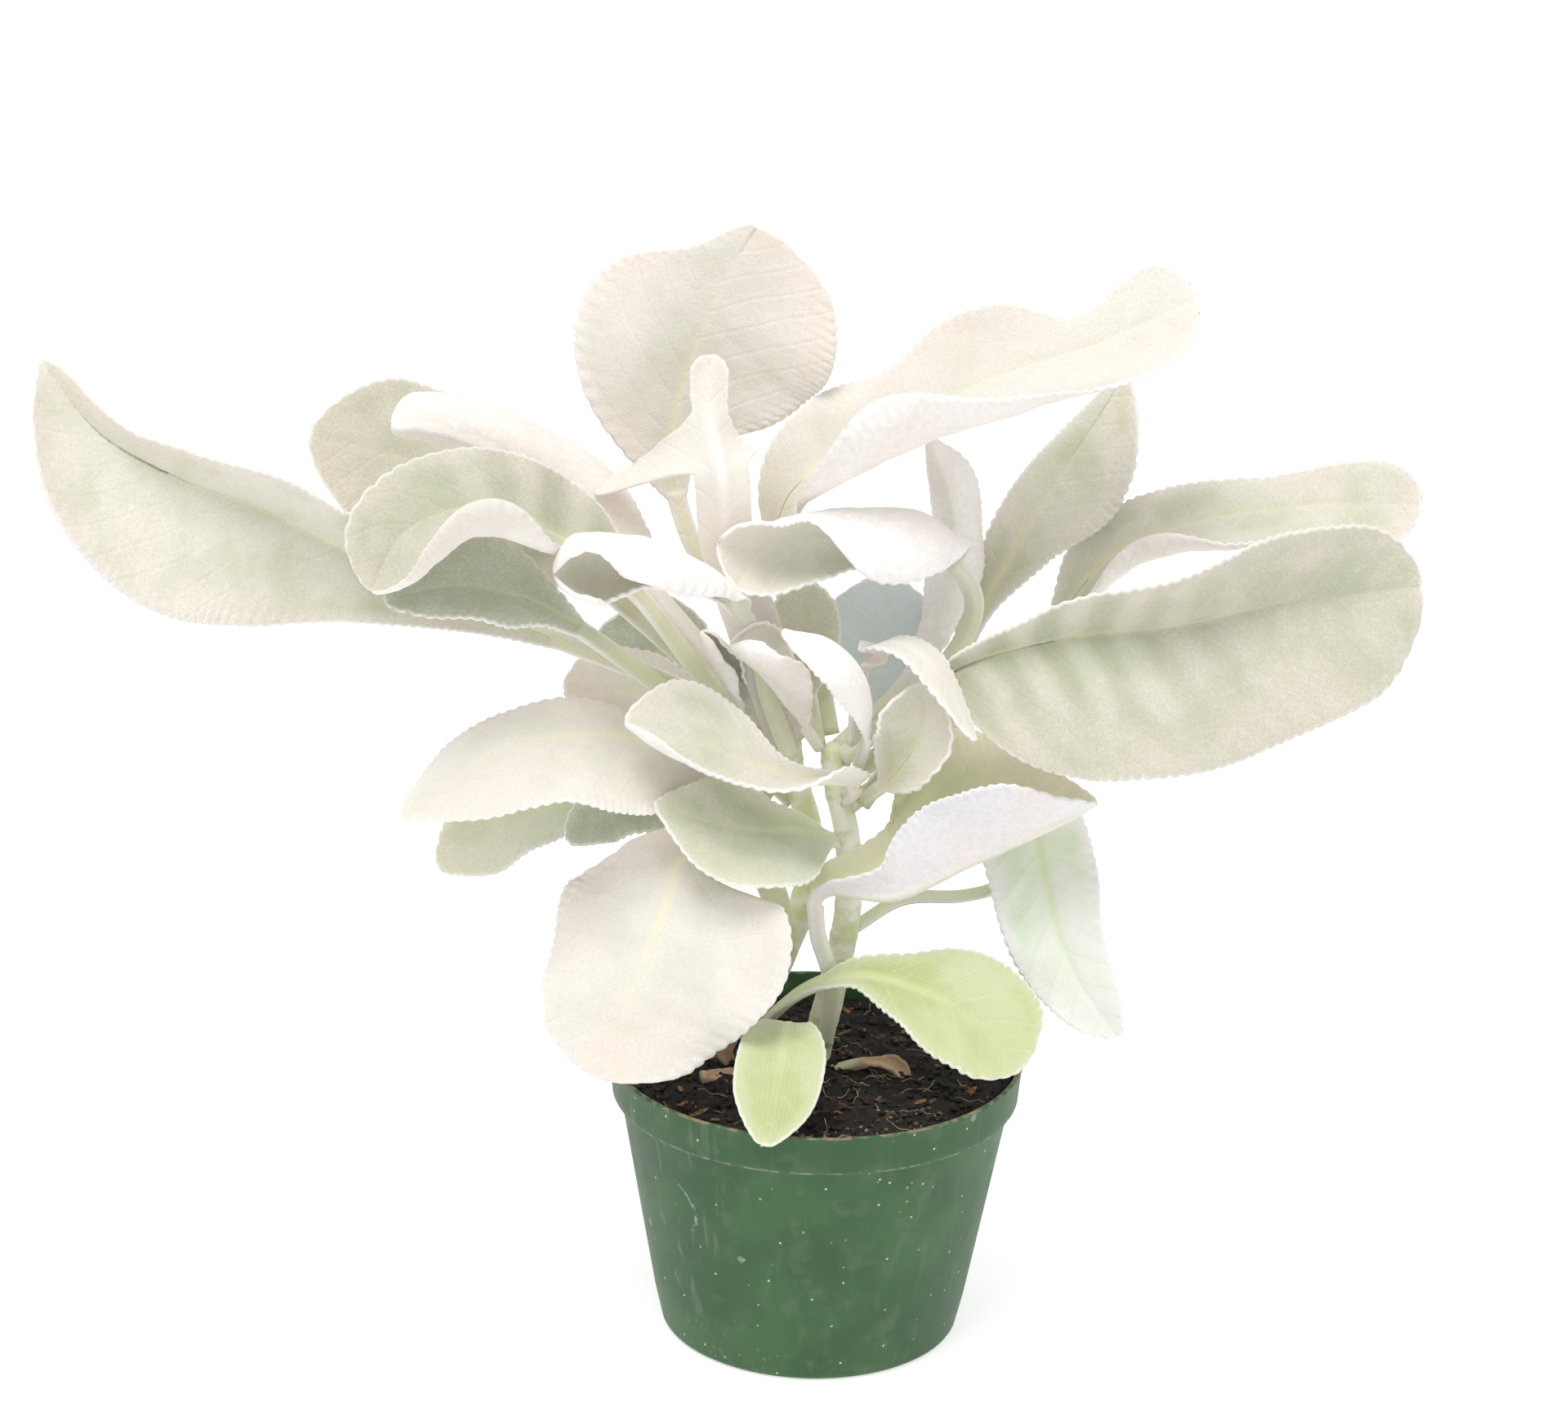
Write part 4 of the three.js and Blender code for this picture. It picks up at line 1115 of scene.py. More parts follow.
    def scalloped(
        self, course: Course, half: np.ndarray, beat: np.ndarray, column: np.ndarray
    ) -> np.ndarray:
        """Returns the width at each point, notched at the margin.

        Args:
            course: The leaf's rows.
            half: The half widths.
            beat: The phase of the scallops.
            column: The columns' shares from the midrib to the margin.

        Returns:
            The width that each point's share is taken of.
        """
        grow = ramp(course.share, self.TOOTH_FROM) * ramp(half, 6.0)
        wave = np.sin(course.along / self.BITE_LENGTH + course.seed * 2)
        uneven = 1 - self.BITE + self.BITE * wave
        notch = (1 - np.abs(np.sin(beat))) ** self.BITE_POWER * uneven
        cut = self.teeth * notch * grow
        return half[:, None] - cut[:, None] * column[None, :] ** self.TOOTH_POWER

    def relief(
        self, course: Course, side: int, across: np.ndarray, edge: np.ndarray
    ) -> np.ndarray:
        """Returns the height of the swells and of the side veins.

        Args:
            course: The leaf's rows.
            side: LEFT or RIGHT.
            across: The distances from the midrib.
            edge: The distances from the margin.

        Returns:
            The height, in millimetres.
        """
        rows = np.broadcast_to(course.along[:, None], across.shape)
        broad = swell(course.seed, side * across, rows, self.swell_length) * ramp(across, 10.0)
        small = swell(course.seed + 3.1, side * across, rows, self.crumple_length)
        slant = rows - across * self.vein_slant + 4.0 * np.sin(course.seed + side)
        near_vein = np.abs((slant / self.vein_pitch) % 1.0 - 0.5) * 2
        veins = self.ridge * (near_vein**2 - 0.4) * ramp(across, 12.0) * ramp(edge, 8.0)
        return self.swells * broad + self.crumples * small + veins

    def thickness(
        self, share: np.ndarray, across: np.ndarray, edge: np.ndarray, broad: np.ndarray
    ) -> np.ndarray:
        """Returns the thickness: full on the stalk, ridged at the midrib, rounded at the margin.

        Args:
            share: The rows' shares of the blade.
            across: The distances from the midrib.
            edge: The distances from the margin.
            broad: How broad the blade is at each row, from 0 to 1.

        Returns:
            The thickness, in millimetres.
        """
        stem = np.clip(1 - share / self.STEM_MERGE, 0, 1)[:, None]
        stem = stem * np.where(share[:, None] < 0.02, 1.0, broad)
        ridge = (self.rib_thick - self.blade_thick) * stem * bell(across, self.RIB_REACH)
        low = self.LOW_RIB * (1 - self.LOW_RIB_LOSS * np.clip(share, 0, 1))[:, None]
        ridge = ridge + low * broad * (1 - stem) * bell(across, self.LOW_RIB_REACH)
        bend = np.sqrt(1 - (1 - ramp(edge, self.MARGIN_ROUND)) ** 2)
        rounding = self.MARGIN_LEFT + (1 - self.MARGIN_LEFT) * bend
        return (self.blade_thick + ridge) * rounding


@cache
def dressed(finish: FeltFinish) -> tuple[bpy.types.Material, ...]:
    """Returns the upper, under and margin materials of a finish, made once and shared."""
    return finish.upper(), finish.lower(), finish.rim()


# Stems, pot, soil and what lies on it


@dataclass(frozen=True)
class Stem:
    """One upright woolly stem, ringed where old leaves fell off."""

    name: str
    points: Points
    foot: float
    top: float
    sides: int = 28
    row_step: float = 1.2
    scar_pitch: float = 11.0
    scar_slant: float = 0.22
    scar_reach: float = 0.16
    scar_height: float = 0.35
    swell_length: float = 19.0
    swell_share: float = 0.035

    END_SHARES = (0.97, 0.86, 0.6, 0.05)

    def clears(self, x: float, y: float, gap: float) -> bool:
        """Says whether a place on the mix is farther than the gap from the stem's foot."""
        return math.hypot(x - self.points[0][0], y - self.points[0][1]) > self.foot + gap

    def build(self) -> bpy.types.Object:
        """Builds the stem and dresses it.

        Returns:
            The finished stem.
        """
        line = Line(self.points)
        share = np.linspace(0, 1, int(line.length / self.row_step))
        along = (share * line.length)[:, None]
        middle, ahead = line.point(share), line.direction(share)
        side = unit(np.array((0.0, 1.0, 0.0)) - ahead * ahead[:, 1:2])
        other = np.cross(ahead, side)
        a = np.linspace(0, FULL_TURN, self.sides + 1)
        turns = np.sin(a * 2 + along / 9.0)
        ring = np.abs((along / self.scar_pitch + self.scar_slant * turns[:, :1]) % 1.0 - 0.5) * 2
        scar = bell(1 - ring, self.scar_reach) * np.clip(turns + 0.4, 0, 1)
        rows = np.broadcast_to(along, turns.shape)
        uneven = swell(1.0 + self.foot, a[None, :] * 6, rows, self.swell_length)
        uneven[:, -1] = uneven[:, 0]
        radius = (self.foot + (self.top - self.foot) * share)[:, None]
        r = radius * (1 + self.swell_share * uneven) + self.scar_height * scar
        r[-len(self.END_SHARES):] *= np.array(self.END_SHARES)[:, None]
        out, over = (r * np.cos(a))[..., None], (r * np.sin(a))[..., None]
        at = middle[:, None] + side[:, None] * out + other[:, None] * over
        piece = sheet(self.name + "_skin", at, {"scar": scar})
        bm = bmesh.new()
        bm.from_mesh(piece.data)
        bmesh.ops.remove_doubles(bm, verts=bm.verts, dist=1e-6)
        bmesh.ops.holes_fill(bm, edges=[e for e in bm.edges if e.is_boundary])
        bmesh.ops.recalc_face_normals(bm, faces=bm.faces)
        bm.to_mesh(piece.data)
        bm.free()
        piece.data.materials.append(StemFinish(self.name + "_woolly").material())
        return shown(piece, "stem_skin", self.name)


@dataclass(frozen=True)
class Pot:
    """The moulded pot: rim band, tapered wall, rounded foot and six drain holes."""

    height: float = 106.9
    rim_radius: float = 76.2
    rim_foot_radius: float = 74.8
    band_foot: float = 92.4
    band_straight: float = 11.4
    body_top_radius: float = 71.8
    base_radius: float = 55.4
    foot_round: float = 3.2
    hollow: float = 1.1
    hollow_radius: float = 34.0
    wall: float = 1.6
    floor: float = 2.4
    drain_holes: int = 6
    drain_radius: float = 5.5
    drain_ring: float = 43.0
    drain_sides: int = 36
    plug_height: float = 20.0
    sides: int = 192
    crease: float = 34.0

    TAPER_STEPS = 8
    BAND_STEPS = 5
    FOOT_ANGLES = (0.4, 0.8, 1.2, 1.5)

    def outside(self) -> list[tuple[float, float]]:
        """Returns the outside as radius and height, from the base's middle to the rim."""
        rim, foot, top = self.rim_radius, self.rim_foot_radius, self.body_top_radius
        base, band, bend = self.base_radius, self.band_foot, self.foot_round
        made = [(0.0, self.hollow), (self.hollow_radius, self.hollow)]
        made += [(self.hollow_radius + 2, 0.6), (self.hollow_radius + 4, 0.05), (base - bend, 0.0)]
        made += [(base - bend + bend * math.sin(a), bend - bend * math.cos(a)) for a in self.FOOT_ANGLES]
        for k in range(1, self.TAPER_STEPS + 1):
            z = 3.4 + (band - 2.2 - 3.4) * k / self.TAPER_STEPS
            made.append((base + (top - base) * z / (band - 1.5), z))
        made += [(top + 0.1, band - 1.6), (top + 0.7, band - 0.9)]
        made += [(foot - 0.5, band - 0.45), (foot, band + 0.3)]
        for k in range(1, self.BAND_STEPS + 1):
            rise = self.band_straight * k / self.BAND_STEPS
            made.append((foot + (rim - 0.35 - foot) * k / self.BAND_STEPS, band + 1.0 + rise))
        return made + [
            (rim - 0.05, self.height - 1.1),
            (rim - 0.1, self.height - 0.5),
            (rim - 0.5, self.height - 0.1),
        ]

    def inside(self) -> list[tuple[float, float]]:
        """Returns the inside as radius and height, from the rim to the floor's middle."""
        rim, foot, top = self.rim_radius, self.rim_foot_radius, self.body_top_radius
        inner = self.base_radius - self.wall
        return [
            (rim - 1.1, self.height),
            (rim - 1.75, self.height - 0.25),
            (rim - 2.0, self.height - 0.9),
            (foot - self.wall, self.band_foot + 1.0),
            (top - self.wall, self.band_foot - 2.0),
            (inner, self.floor + 2.0),
            (inner - 2, self.floor),
            (0.0, self.floor),
        ]

    def build(self) -> bpy.types.Object:
        """Builds the pot and dresses it.

        Returns:
            The finished pot.
        """
        piece = linked("pot_moulded", turned(self.outside() + self.inside(), self.sides))
        cutter = self.drains()
        cut = piece.modifiers.new("drains", "BOOLEAN")
        cut.object = cutter
        cut.operation = "DIFFERENCE"
        cut.solver = "EXACT"
        baked(piece)
        bpy.data.objects.remove(cutter)
        smooth(piece)
        creased(piece, self.crease)
        piece.data.materials.clear()
        piece.data.materials.append(PotFinish().material())
        return shown(piece, "pot_plastic", "pot")

    def drains(self) -> bpy.types.Object:
        """Returns the six plugs that cut the drain holes."""
        bm = bmesh.new()
        r, ring = self.drain_radius * MM, self.drain_ring
        for k in range(self.drain_holes):
            a = FULL_TURN * (k + 0.5) / self.drain_holes
            at = Matrix.Translation((ring * math.cos(a) * MM, ring * math.sin(a) * MM, 1.0 * MM))
            bmesh.ops.create_cone(
                bm, cap_ends=True, segments=self.drain_sides, radius1=r, radius2=r,
                depth=self.plug_height * MM, matrix=at,
            )
        return linked("plugs", bm)


POT = Pot()


STEMS = (
    Stem(
        "stem_right",
        ((0, 12, 60), (0, 12, 92), (0.5, 12, 104), (5, 12, 126), (10, 13, 156), (9.5, 15, 184),
         (4.5, 17, 206), (2.5, 18, 222)),
        foot=6.0, top=4.2,
    ),
    Stem(
        "stem_left",
        ((-27, 31, 60), (-27, 31, 92), (-26, 31, 104), (-13.5, 30, 132), (-4.5, 28, 162),
         (-5, 27, 186), (-11, 27, 206), (-13, 29, 222)),
        foot=6.2, top=4.2,
    ),
)


@dataclass(frozen=True)
class Strewn:
    """One kind of loose piece on the mix, all of them one object."""

    name: str
    count: int
    half: Triple
    finish: DryFinish
    at_rim: bool = False


@dataclass(frozen=True)
class Soil:
    """The potting mix that fills the pot, crumbly on top, with bark, grains and fine roots."""

    level: float = 97.5
    top_radius: float = 72.1
    floor: float = 2.8
    foot_radius: float = 53.1
    crown_radius: float = 66.0
    crown_height: float = 2.2
    lump_height: float = 0.5
    calm_radius: float = 69.0
    calm_lumps: float = 0.3
    bed_radius: float = 70.0
    calm_crumbs: float = 0.35
    crumb_height: float = 1.1
    grit_height: float = 0.55
    stem_gap: float = 2.5
    rim_gap: float = 4.5
    lift: float = 0.35
    tilt: float = 0.35
    rings: int = 84
    sides: int = 260
    seed: int = 11
    root_count: int = 46
    root_gap: float = 8.0
    root_end_gap: float = 3.0
    root_lift: float = 0.45
    root_arch: float = 0.8
    root_steps: int = 9
    root_step: float = 1.7
    root_radius: float = 0.13
    strewn: tuple[Strewn, ...] = (
        Strewn("soil_bark", 190, (2.8, 1.1, 0.7),
               DryFinish("bark_brown", (88, 62, 41), (28, 20, 14), 420.0)),
        Strewn("soil_chips", 56, (3.2, 1.0, 0.6),
               DryFinish("bark_tan", (158, 118, 78), (92, 64, 40), 420.0)),
        Strewn("soil_crumbs", 680, (1.5, 1.2, 0.9),
               DryFinish("crumb_black", (40, 32, 25), (10, 8, 7), 500.0)),
        Strewn("soil_grains", 150, (0.9, 0.8, 0.7),
               DryFinish("grain_red", (158, 126, 98), (100, 68, 52), 900.0), at_rim=True),
    )

    def height(self, x: float, y: float) -> float:
        """Returns the top's height at a place.

        Args:
            x: The place across.
            y: The place front to back.

        Returns:
            The height, in millimetres.
        """
        r = math.hypot(x, y)
        a = math.atan2(y, x)
        lumps = math.sin(r * 0.31 + 3 * a) + math.sin(r * 0.17 - 5 * a + 1.3) + math.cos(0.4 * r + 7 * a)
        lumps *= 1.0 if r < self.calm_radius else self.calm_lumps
        crown = max(0.0, 1 - r / self.crown_radius) * self.crown_height
        crumb = noise.fractal(Vector((x, y, 3.0)) * 0.16, 0.9, 2.1, 4)
        grit = noise.noise(Vector((x, y, 9.0)) * 0.9)
        loose = self.crumb_height * crumb + self.grit_height * grit
        loose *= 1.0 if r < self.bed_radius else self.calm_crumbs
        return self.level + crown + self.lump_height * lumps + loose

    def build(self) -> list[bpy.types.Object]:
        """Builds the mix and what is strewn on it.

        Returns:
            The finished pieces.
        """
        rng = np.random.default_rng(self.seed)
        return [self.body(), *(self.scattered(kind, rng) for kind in self.strewn), self.roots()]

    def body(self) -> bpy.types.Object:
        """Returns the filled body with its crumbly top."""
        inner = POT.body_top_radius - POT.wall
        side = [(0.0, self.floor), (self.foot_radius - 2.3, self.floor), (self.foot_radius, 5.4)]
        side += [(inner - 0.6, POT.band_foot - 2.5), (self.top_radius - 0.3, POT.band_foot + 1.4)]
        top = [(self.top_radius * (1 - k / self.rings), self.level) for k in range(self.rings + 1)]
        bm = turned(side + top, self.sides)
        for vert in bm.verts:
            if vert.co.z > (self.level - 0.5) * MM:
                vert.co.z = self.height(vert.co.x / MM, vert.co.y / MM) * MM
        piece = linked("soil_mix", bm)
        smooth(piece)
        piece.data.materials.append(SoilFinish("potting_mix_damp").material())
        return shown(piece, "potting_mix", "soil")

    def spots(
        self, count: int, rng: np.random.Generator, reach: float, at_rim: bool = False
    ) -> list[tuple[float, float]]:
        """Finds random places on the soil, clear of the stems.

        Args:
            count: How many places.
            rng: The seeded numbers.
            reach: The farthest from the middle.
            at_rim: Whether they gather along the front and right of the rim.

        Returns:
            The places.
        """
        made: list[tuple[float, float]] = []
        while len(made) < count:
            r = reach * math.sqrt(rng.random())
            a = rng.random() * FULL_TURN
            if at_rim:
                r = reach * (1.0 - 0.3 * rng.random() ** 1.5)
                a = -0.5 * math.pi + 1.4 * (rng.random() - 0.3)
            x, y = r * math.cos(a), r * math.sin(a)
            if all(stem.clears(x, y, self.stem_gap) for stem in STEMS):
                made.append((x, y))
        return made

    def scattered(self, kind: Strewn, rng: np.random.Generator) -> bpy.types.Object:
        """Makes one kind of loose piece.

        Args:
            kind: What the pieces are like.
            rng: The seeded numbers.

        Returns:
            One object of all the pieces.
        """
        bm = bmesh.new()
        for x, y in self.spots(kind.count, rng, self.top_radius - self.rim_gap, kind.at_rim):
            scale = 0.55 + 0.9 * rng.random() ** 2
            spin = rng.random(3) * FULL_TURN
            at = Matrix.Translation((x * MM, y * MM, (self.height(x, y) + self.lift) * MM))
            turn = Matrix.Rotation(spin[0], 4, "Z")
            turn = turn @ Matrix.Rotation(self.tilt * math.sin(spin[1]), 4, "X")
            turn = turn @ Matrix.Rotation(self.tilt * math.cos(spin[2]), 4, "Y")
            grow = Matrix.Diagonal((*(half * scale * MM for half in kind.half), 1.0))
            made = bmesh.ops.create_icosphere(bm, subdivisions=1, radius=1.0, matrix=at @ turn @ grow)
            middle = Vector((x * MM, y * MM, self.height(x, y) * MM))
            for vert in made["verts"]:
                vert.co = middle + (vert.co - middle) * (0.72 + 0.56 * rng.random())
        piece = linked(kind.name, bm)
        piece.data.materials.append(kind.finish.material())
        return shown(piece, "potting_mix")

    def roots(self) -> bpy.types.Object:
        """Returns the fine pale root fibres that lie on the mix."""
        rng = np.random.default_rng(self.seed + 1)
        bm = bmesh.new()
        for x, y in self.spots(self.root_count, rng, self.top_radius - self.root_gap):
            turn = rng.random() * FULL_TURN
            last: list[bmesh.types.BMVert] = []
            for k in range(self.root_steps):
                turn += (rng.random() - 0.5) * 0.9
                x, y = x + self.root_step * math.cos(turn), y + self.root_step * math.sin(turn)
                if math.hypot(x, y) > self.top_radius - self.root_end_gap:
                    break
                z = self.height(x, y) + self.root_lift + self.root_arch * math.sin(k * 0.8) ** 2
                at = Matrix.Translation((x * MM, y * MM, z * MM)) @ Matrix.Rotation(turn, 4, "Z")
                at = at @ Matrix.Rotation(math.pi / 2, 4, "Y")
                radius = self.root_radius * MM
                ring = bmesh.ops.create_circle(bm, segments=4, radius=radius, matrix=at)["verts"]
                if last:
                    for a, b, c, d in zip(last, last[1:] + last[:1], ring, ring[1:] + ring[:1]):
                        bm.faces.new((a, b, d, c))
                last = ring
        bmesh.ops.recalc_face_normals(bm, faces=bm.faces)
        piece = linked("soil_roots", bm)
        piece.data.materials.append(DryFinish("root_pale", (206, 190, 160), (150, 128, 96)).material())
        return shown(piece, "potting_mix")


# The leaves of this plant, from the top down, and what has dropped on the mix


LEAVES = (
    Leaf("leaf_top_round", Felt.PALE,
         line=((-13, 230, 36), (-28, 268, 46), (-50, 304, 54), (-57, 338, 54), (-51, 370, 50),
         (-41, 396, 44), (-29, 418, 38)), start=0.46, face=((0.1, -0.9, 0.3), (0, -0.92, 0.35),
         (0, -0.9, 0.4), (0, -0.95, 0.1)), left=(18, 36, 44, 38, 15, 6),
         right=(12, 34, 46, 50, 44, 28), tip=0.88, fold=(14, 8, 0, -6),
         curl_left=(0, 4, 0, -10, -10), curl_right=(0, 6, 0, 0, 0), waves=1.5),
    Leaf("leaf_top_young", Felt.WOOL,
         line=((-11, 228, 20), (-24, 264, 12), (-36, 300, 6), (-39, 326, 4), (-42, 340, 10),
         (-44, 354, 18), (-44, 371, 22)), start=0.73, face=((0, -0.9, 0.4), (0, -0.32, 0.95),
         (0, -0.5, 0.85), (0, -0.9, 0.3)), left=(50, 34, 9, 7, 7, 7), right=(17, 15, 8, 7, 7, 7),
         fold=(-14, -42, -10, 20), stalk=10, teeth=0.6, tip=0.86, wave=2),
    Leaf("leaf_top_right", Felt.PALE,
         line=((2, 231, 28), (-4, 258, 38), (-17, 288, 38), (-18, 312, 34), (-4, 332, 28),
         (28, 351, 22), (60, 367, 16), (94, 380, 10), (125, 396, 4)), start=0.3,
         face=((-0.3, -0.8, 0.5), (-0.2, -0.6, 0.78), (-0.1, -0.7, 0.7), (-0.1, -0.85, 0.5)),
         left=(18, 24, 23, 29, 26, 13, 18, 25), right=(18, 44, 60, 60, 50, 36, 26, 18), tip=0.87,
         fold_left=(16, 10, 6, 0), fold_right=(16, 14, 14, 8), curl_left=(0, 0, 0, 0, 20, 0, 0),
         curl_right=(20, 90, 116, 112, 90, 40, 10), turn=1.5),
    Leaf("leaf_centre_roll", Felt.WHITE,
         line=((6, 222, 15), (32, 246, 28), (49, 270, 34), (50, 288, 32), (33, 303, 26),
         (8, 305, 18), (-18, 301, 11), (-40, 301, 0)), start=0.5, face=((-0.1, -0.98, 0.15),
         (0, -1, 0.05), (-0.1, -1, 0), (-0.3, -0.9, 0.1)), left=(8, 10, 13, 18, 21, 16),
         right=(38, 56, 50, 28, 22, 17), tip=0.9, fold=(0,), curl_left=(0, 0, 30, 70, 90, 90, 60),
         curl_right=(150, 190, 220, 195, 110, 90, 70), turn=1, wave=3, teeth=0.9),
    Leaf("leaf_left_back", Felt.SAND,
         line=((-14, 221, 28), (-50, 257, 46), (-95, 296, 52), (-134, 325, 52), (-184, 338, 46)),
         start=0.4, face=((0.3, -0.75, 0.6), (0.3, -0.75, 0.6), (0.2, -0.8, 0.5)),
         left=(16, 26, 32, 32, 22), right=(14, 24, 28, 29, 22), fold=(12, 6, 0)),
    Leaf("leaf_left_finger", Felt.WOOL,
         line=((-19, 232, 28), (-46, 264, 26), (-70, 292, 24), (-92, 314, 20), (-120, 333, 12),
         (-143, 341, 6), (-155, 341, 4)), start=0.38, face=((0.1, 0.9, 0.2), (0.1, 0.9, 0.2),
         (0, 0.9, 0.2)), left=(20, 28, 29, 26, 22), curl_left=(40, 110, 140, 150), fold=(10,),
         tip=0.92, turn=1, wave=4),
    Leaf("leaf_far_left", Felt.BEIGE,
         line=((-19, 222, 22), (-50, 246, 16), (-95, 264, 8), (-150, 285, 0), (-200, 310, -8),
         (-230, 321, -12), (-258, 337, -14), (-278, 363, -14)), start=0.3, face=((0.2, -0.9, 0.2),
         (0.15, -0.97, 0.2), (0.4, -0.85, 0.2), (0.6, -0.7, 0.3)), left=(10, 22, 41, 47, 34, 9),
         right=(14, 24, 28, 22, 11, 5), tip=0.94, fold_left=(10, 4, 0, 0, 6),
         fold_right=(24, 40, 58, 60, 46), curl_left=(0, 0, 4, 10, 20), curl_right=(0, 10, 10, 10, 0)),
    Leaf("leaf_left_scalloped", Felt.SAND,
         line=((-18, 212, 16), (-44, 250, 4), (-72, 286, 0), (-100, 305, -8), (-128, 313, -18),
         (-151, 303, -26), (-163, 281, -32)), start=0.46, face=((0.2, -0.75, 0.6),
         (0.1, -0.75, 0.65), (0.1, -0.8, 0.5)), left=(12, 30, 42, 40, 18),
         right=(18, 22, 22, 20, 12), tip=0.86, fold_left=(20,), fold_right=(10, 8, 6),
         curl_left=(20, 100, 125, 90), curl_right=(10, 0, -10), turn=1.5, ridge=0.5),
    Leaf("leaf_left_under", Felt.OLIVE_PAINTED_SHADE,
         line=((-19, 208, 22), (-44, 234, 8), (-74, 258, -2), (-104, 277, -10), (-132, 283, -18),
         (-158, 277, -22)), start=0.58, face=((0.1, -0.7, 0.7), (0, -0.7, 0.7), (0, -0.7, 0.7)),
         left=(8, 14, 14, 12, 8), right=(10, 18, 20, 16, 10), fold=(14, 10, 6)),
    Leaf("leaf_left_scroll", Felt.WHITE,
         line=((-12, 222, 12), (-21, 246, 12), (-25, 264, 8), (-36, 281, -1), (-60, 291, -12),
         (-84, 293, -19), (-98, 289, -26)), start=0.44, face=((-0.1, -0.95, 0.2), (0, -1, 0.1),
         (0, -1, 0.05), (-0.2, -1, 0)), left=(4, 8, 14, 24, 24), right=(16, 30, 40, 40, 28),
         tip=0.88, fold=(0,), curl_left=(80, 120, 135, 120), curl_right=(120, 175, 175, 120),
         turn=1, wave=3, teeth=0.9),
    Leaf("leaf_right_narrow", Felt.WHITE,
         line=((5, 226, 21), (29, 252, 36), (42, 284, 40), (43, 316, 42), (34, 342, 42)),
         start=0.35, face=((0.2, 0.9, 0.2), (0.1, 0.9, 0.2), (0, 0.9, 0.3)),
         left=(11, 18, 18, 15, 9), fold=(16, 14, 10), curl_left=(40, 90, 90), turn=1, wave=4),
    Leaf("leaf_right_back", Felt.BEIGE,
         line=((7, 211, 18), (37, 243, 42), (56, 282, 50), (74, 320, 54), (90, 348, 54),
         (101, 368, 52)), start=0.34, face=((-0.4, -0.85, 0.25), (-0.4, -0.85, 0.25),
         (-0.3, -0.9, 0.2)), left=(9, 13, 12, 8, 5), right=(5, 15, 26, 24, 13), fold=(16, 10, 6)),
    Leaf("leaf_right_wavy", Felt.BEIGE,
         line=((9, 203, 17), (48, 237, 34), (80, 274, 40), (102, 303, 38), (136, 316, 34),
         (174, 322, 28), (208, 323, 22)), start=0.4, face=((-0.2, -0.6, 0.75), (0, -0.55, 0.8),
         (0, -0.8, 0.5)), left=(14, 18, 16, 14, 16, 18), right=(20, 30, 32, 28, 24, 16), tip=0.88,
         fold=(14, 10, 4), curl_left=(0, -10, 10), curl_right=(110, 120, 60, 0), wave=12, waves=3),
    Leaf("leaf_right_broad", Felt.SAND,
         line=((14, 205, 13), (30, 230, 10), (46, 256, -2), (84, 270, -14), (122, 275, -20),
         (166, 286, -20), (210, 293, -16)), start=0.22, face=((-0.2, -0.8, 0.5),
         (-0.05, -0.88, 0.45), (0, -0.9, 0.4)), left=(10, 20, 30, 34, 30, 22),
         right=(38, 53, 54, 49, 42, 28), tip=0.88, fold_left=(50, 62, 62, 50, 20),
         fold_right=(10, 10, 8, 4), curl_left=(0, 10, 10, 0), curl_right=(0, -14, -10), ridge=1.1),
    Leaf("leaf_heart_green", Felt.SAGE,
         line=((-2, 226, 22), (-6, 248, 27), (-8, 270, 27), (-10, 290, 24)), start=0.3,
         face=((0, -0.9, 0.3), (0, -0.9, 0.3), (0, -0.8, 0.5)), left=(10, 13, 12, 8),
         fold=(10, 8, 6), stalk=2.6),
    Leaf("leaf_heart_small", Felt.WHITE,
         line=((-20, 230, 25), (-32, 243, 19), (-40, 257, 14), (-45, 269, 10)), start=0.25,
         face=((0.2, -0.6, 0.7),), left=(8, 12, 12, 9), fold=(20,), curl_left=(60, 120, 110),
         turn=1, stalk=2.6),
    Leaf("leaf_heart_mouth", Felt.WHITE,
         line=((-2, 226, 12), (-12, 240, 4), (-22, 253, -2), (-35, 264, -4)), start=0.2,
         face=((0.2, -0.1, 0.95), (0.1, -0.1, 0.95), (0.2, -0.2, 0.95)), left=(10, 17, 20, 16),
         right=(10, 16, 18, 15), fold=(20, 14, 14), curl_left=(50, 80, 80), tip=0.85, turn=1,
         stalk=2.8),
    Leaf("leaf_heart_white", Felt.WHITE,
         line=((12, 218, 6), (16, 236, -8), (12, 254, -20), (0, 266, -28), (-16, 270, -32)),
         start=0.2, face=((-0.9, 0, 0), (-0.9, -0.1, -0.3), (-0.5, -0.1, -0.9)),
         left=(9, 14, 14, 10), fold=(20,), curl_left=(40, 80, 70), turn=1, stalk=2.8),
    Leaf("leaf_heart_arched", Felt.WOOL,
         line=((10, 228, 18), (12, 252, 10), (20, 266, 0), (36, 259, -12), (54, 230, -26)),
         start=0.3, face=((0.4, -0.5, 0.7), (0.4, -0.3, 0.9), (0.7, -0.3, 0.6)), left=(8, 10, 8, 5),
         fold=(6, 0, -4), stalk=2.8),
    Leaf("leaf_heart_brown", Felt.BEIGE,
         line=((14, 206, 8), (26, 217, 0), (34, 232, -4), (35, 252, -4)), start=0.2,
         face=((-0.2, -0.9, 0.3),), left=(12, 18, 18, 13), right=(12, 17, 17, 12),
         fold=(20, 22, 22), stalk=2.8, curl_left=(20, 50, 50)),
    Leaf("leaf_centre_spoon", Felt.BEIGE,
         line=((9, 206, 8), (12, 211, -4), (4, 213, -12), (-14, 215, -22), (-44, 226, -32),
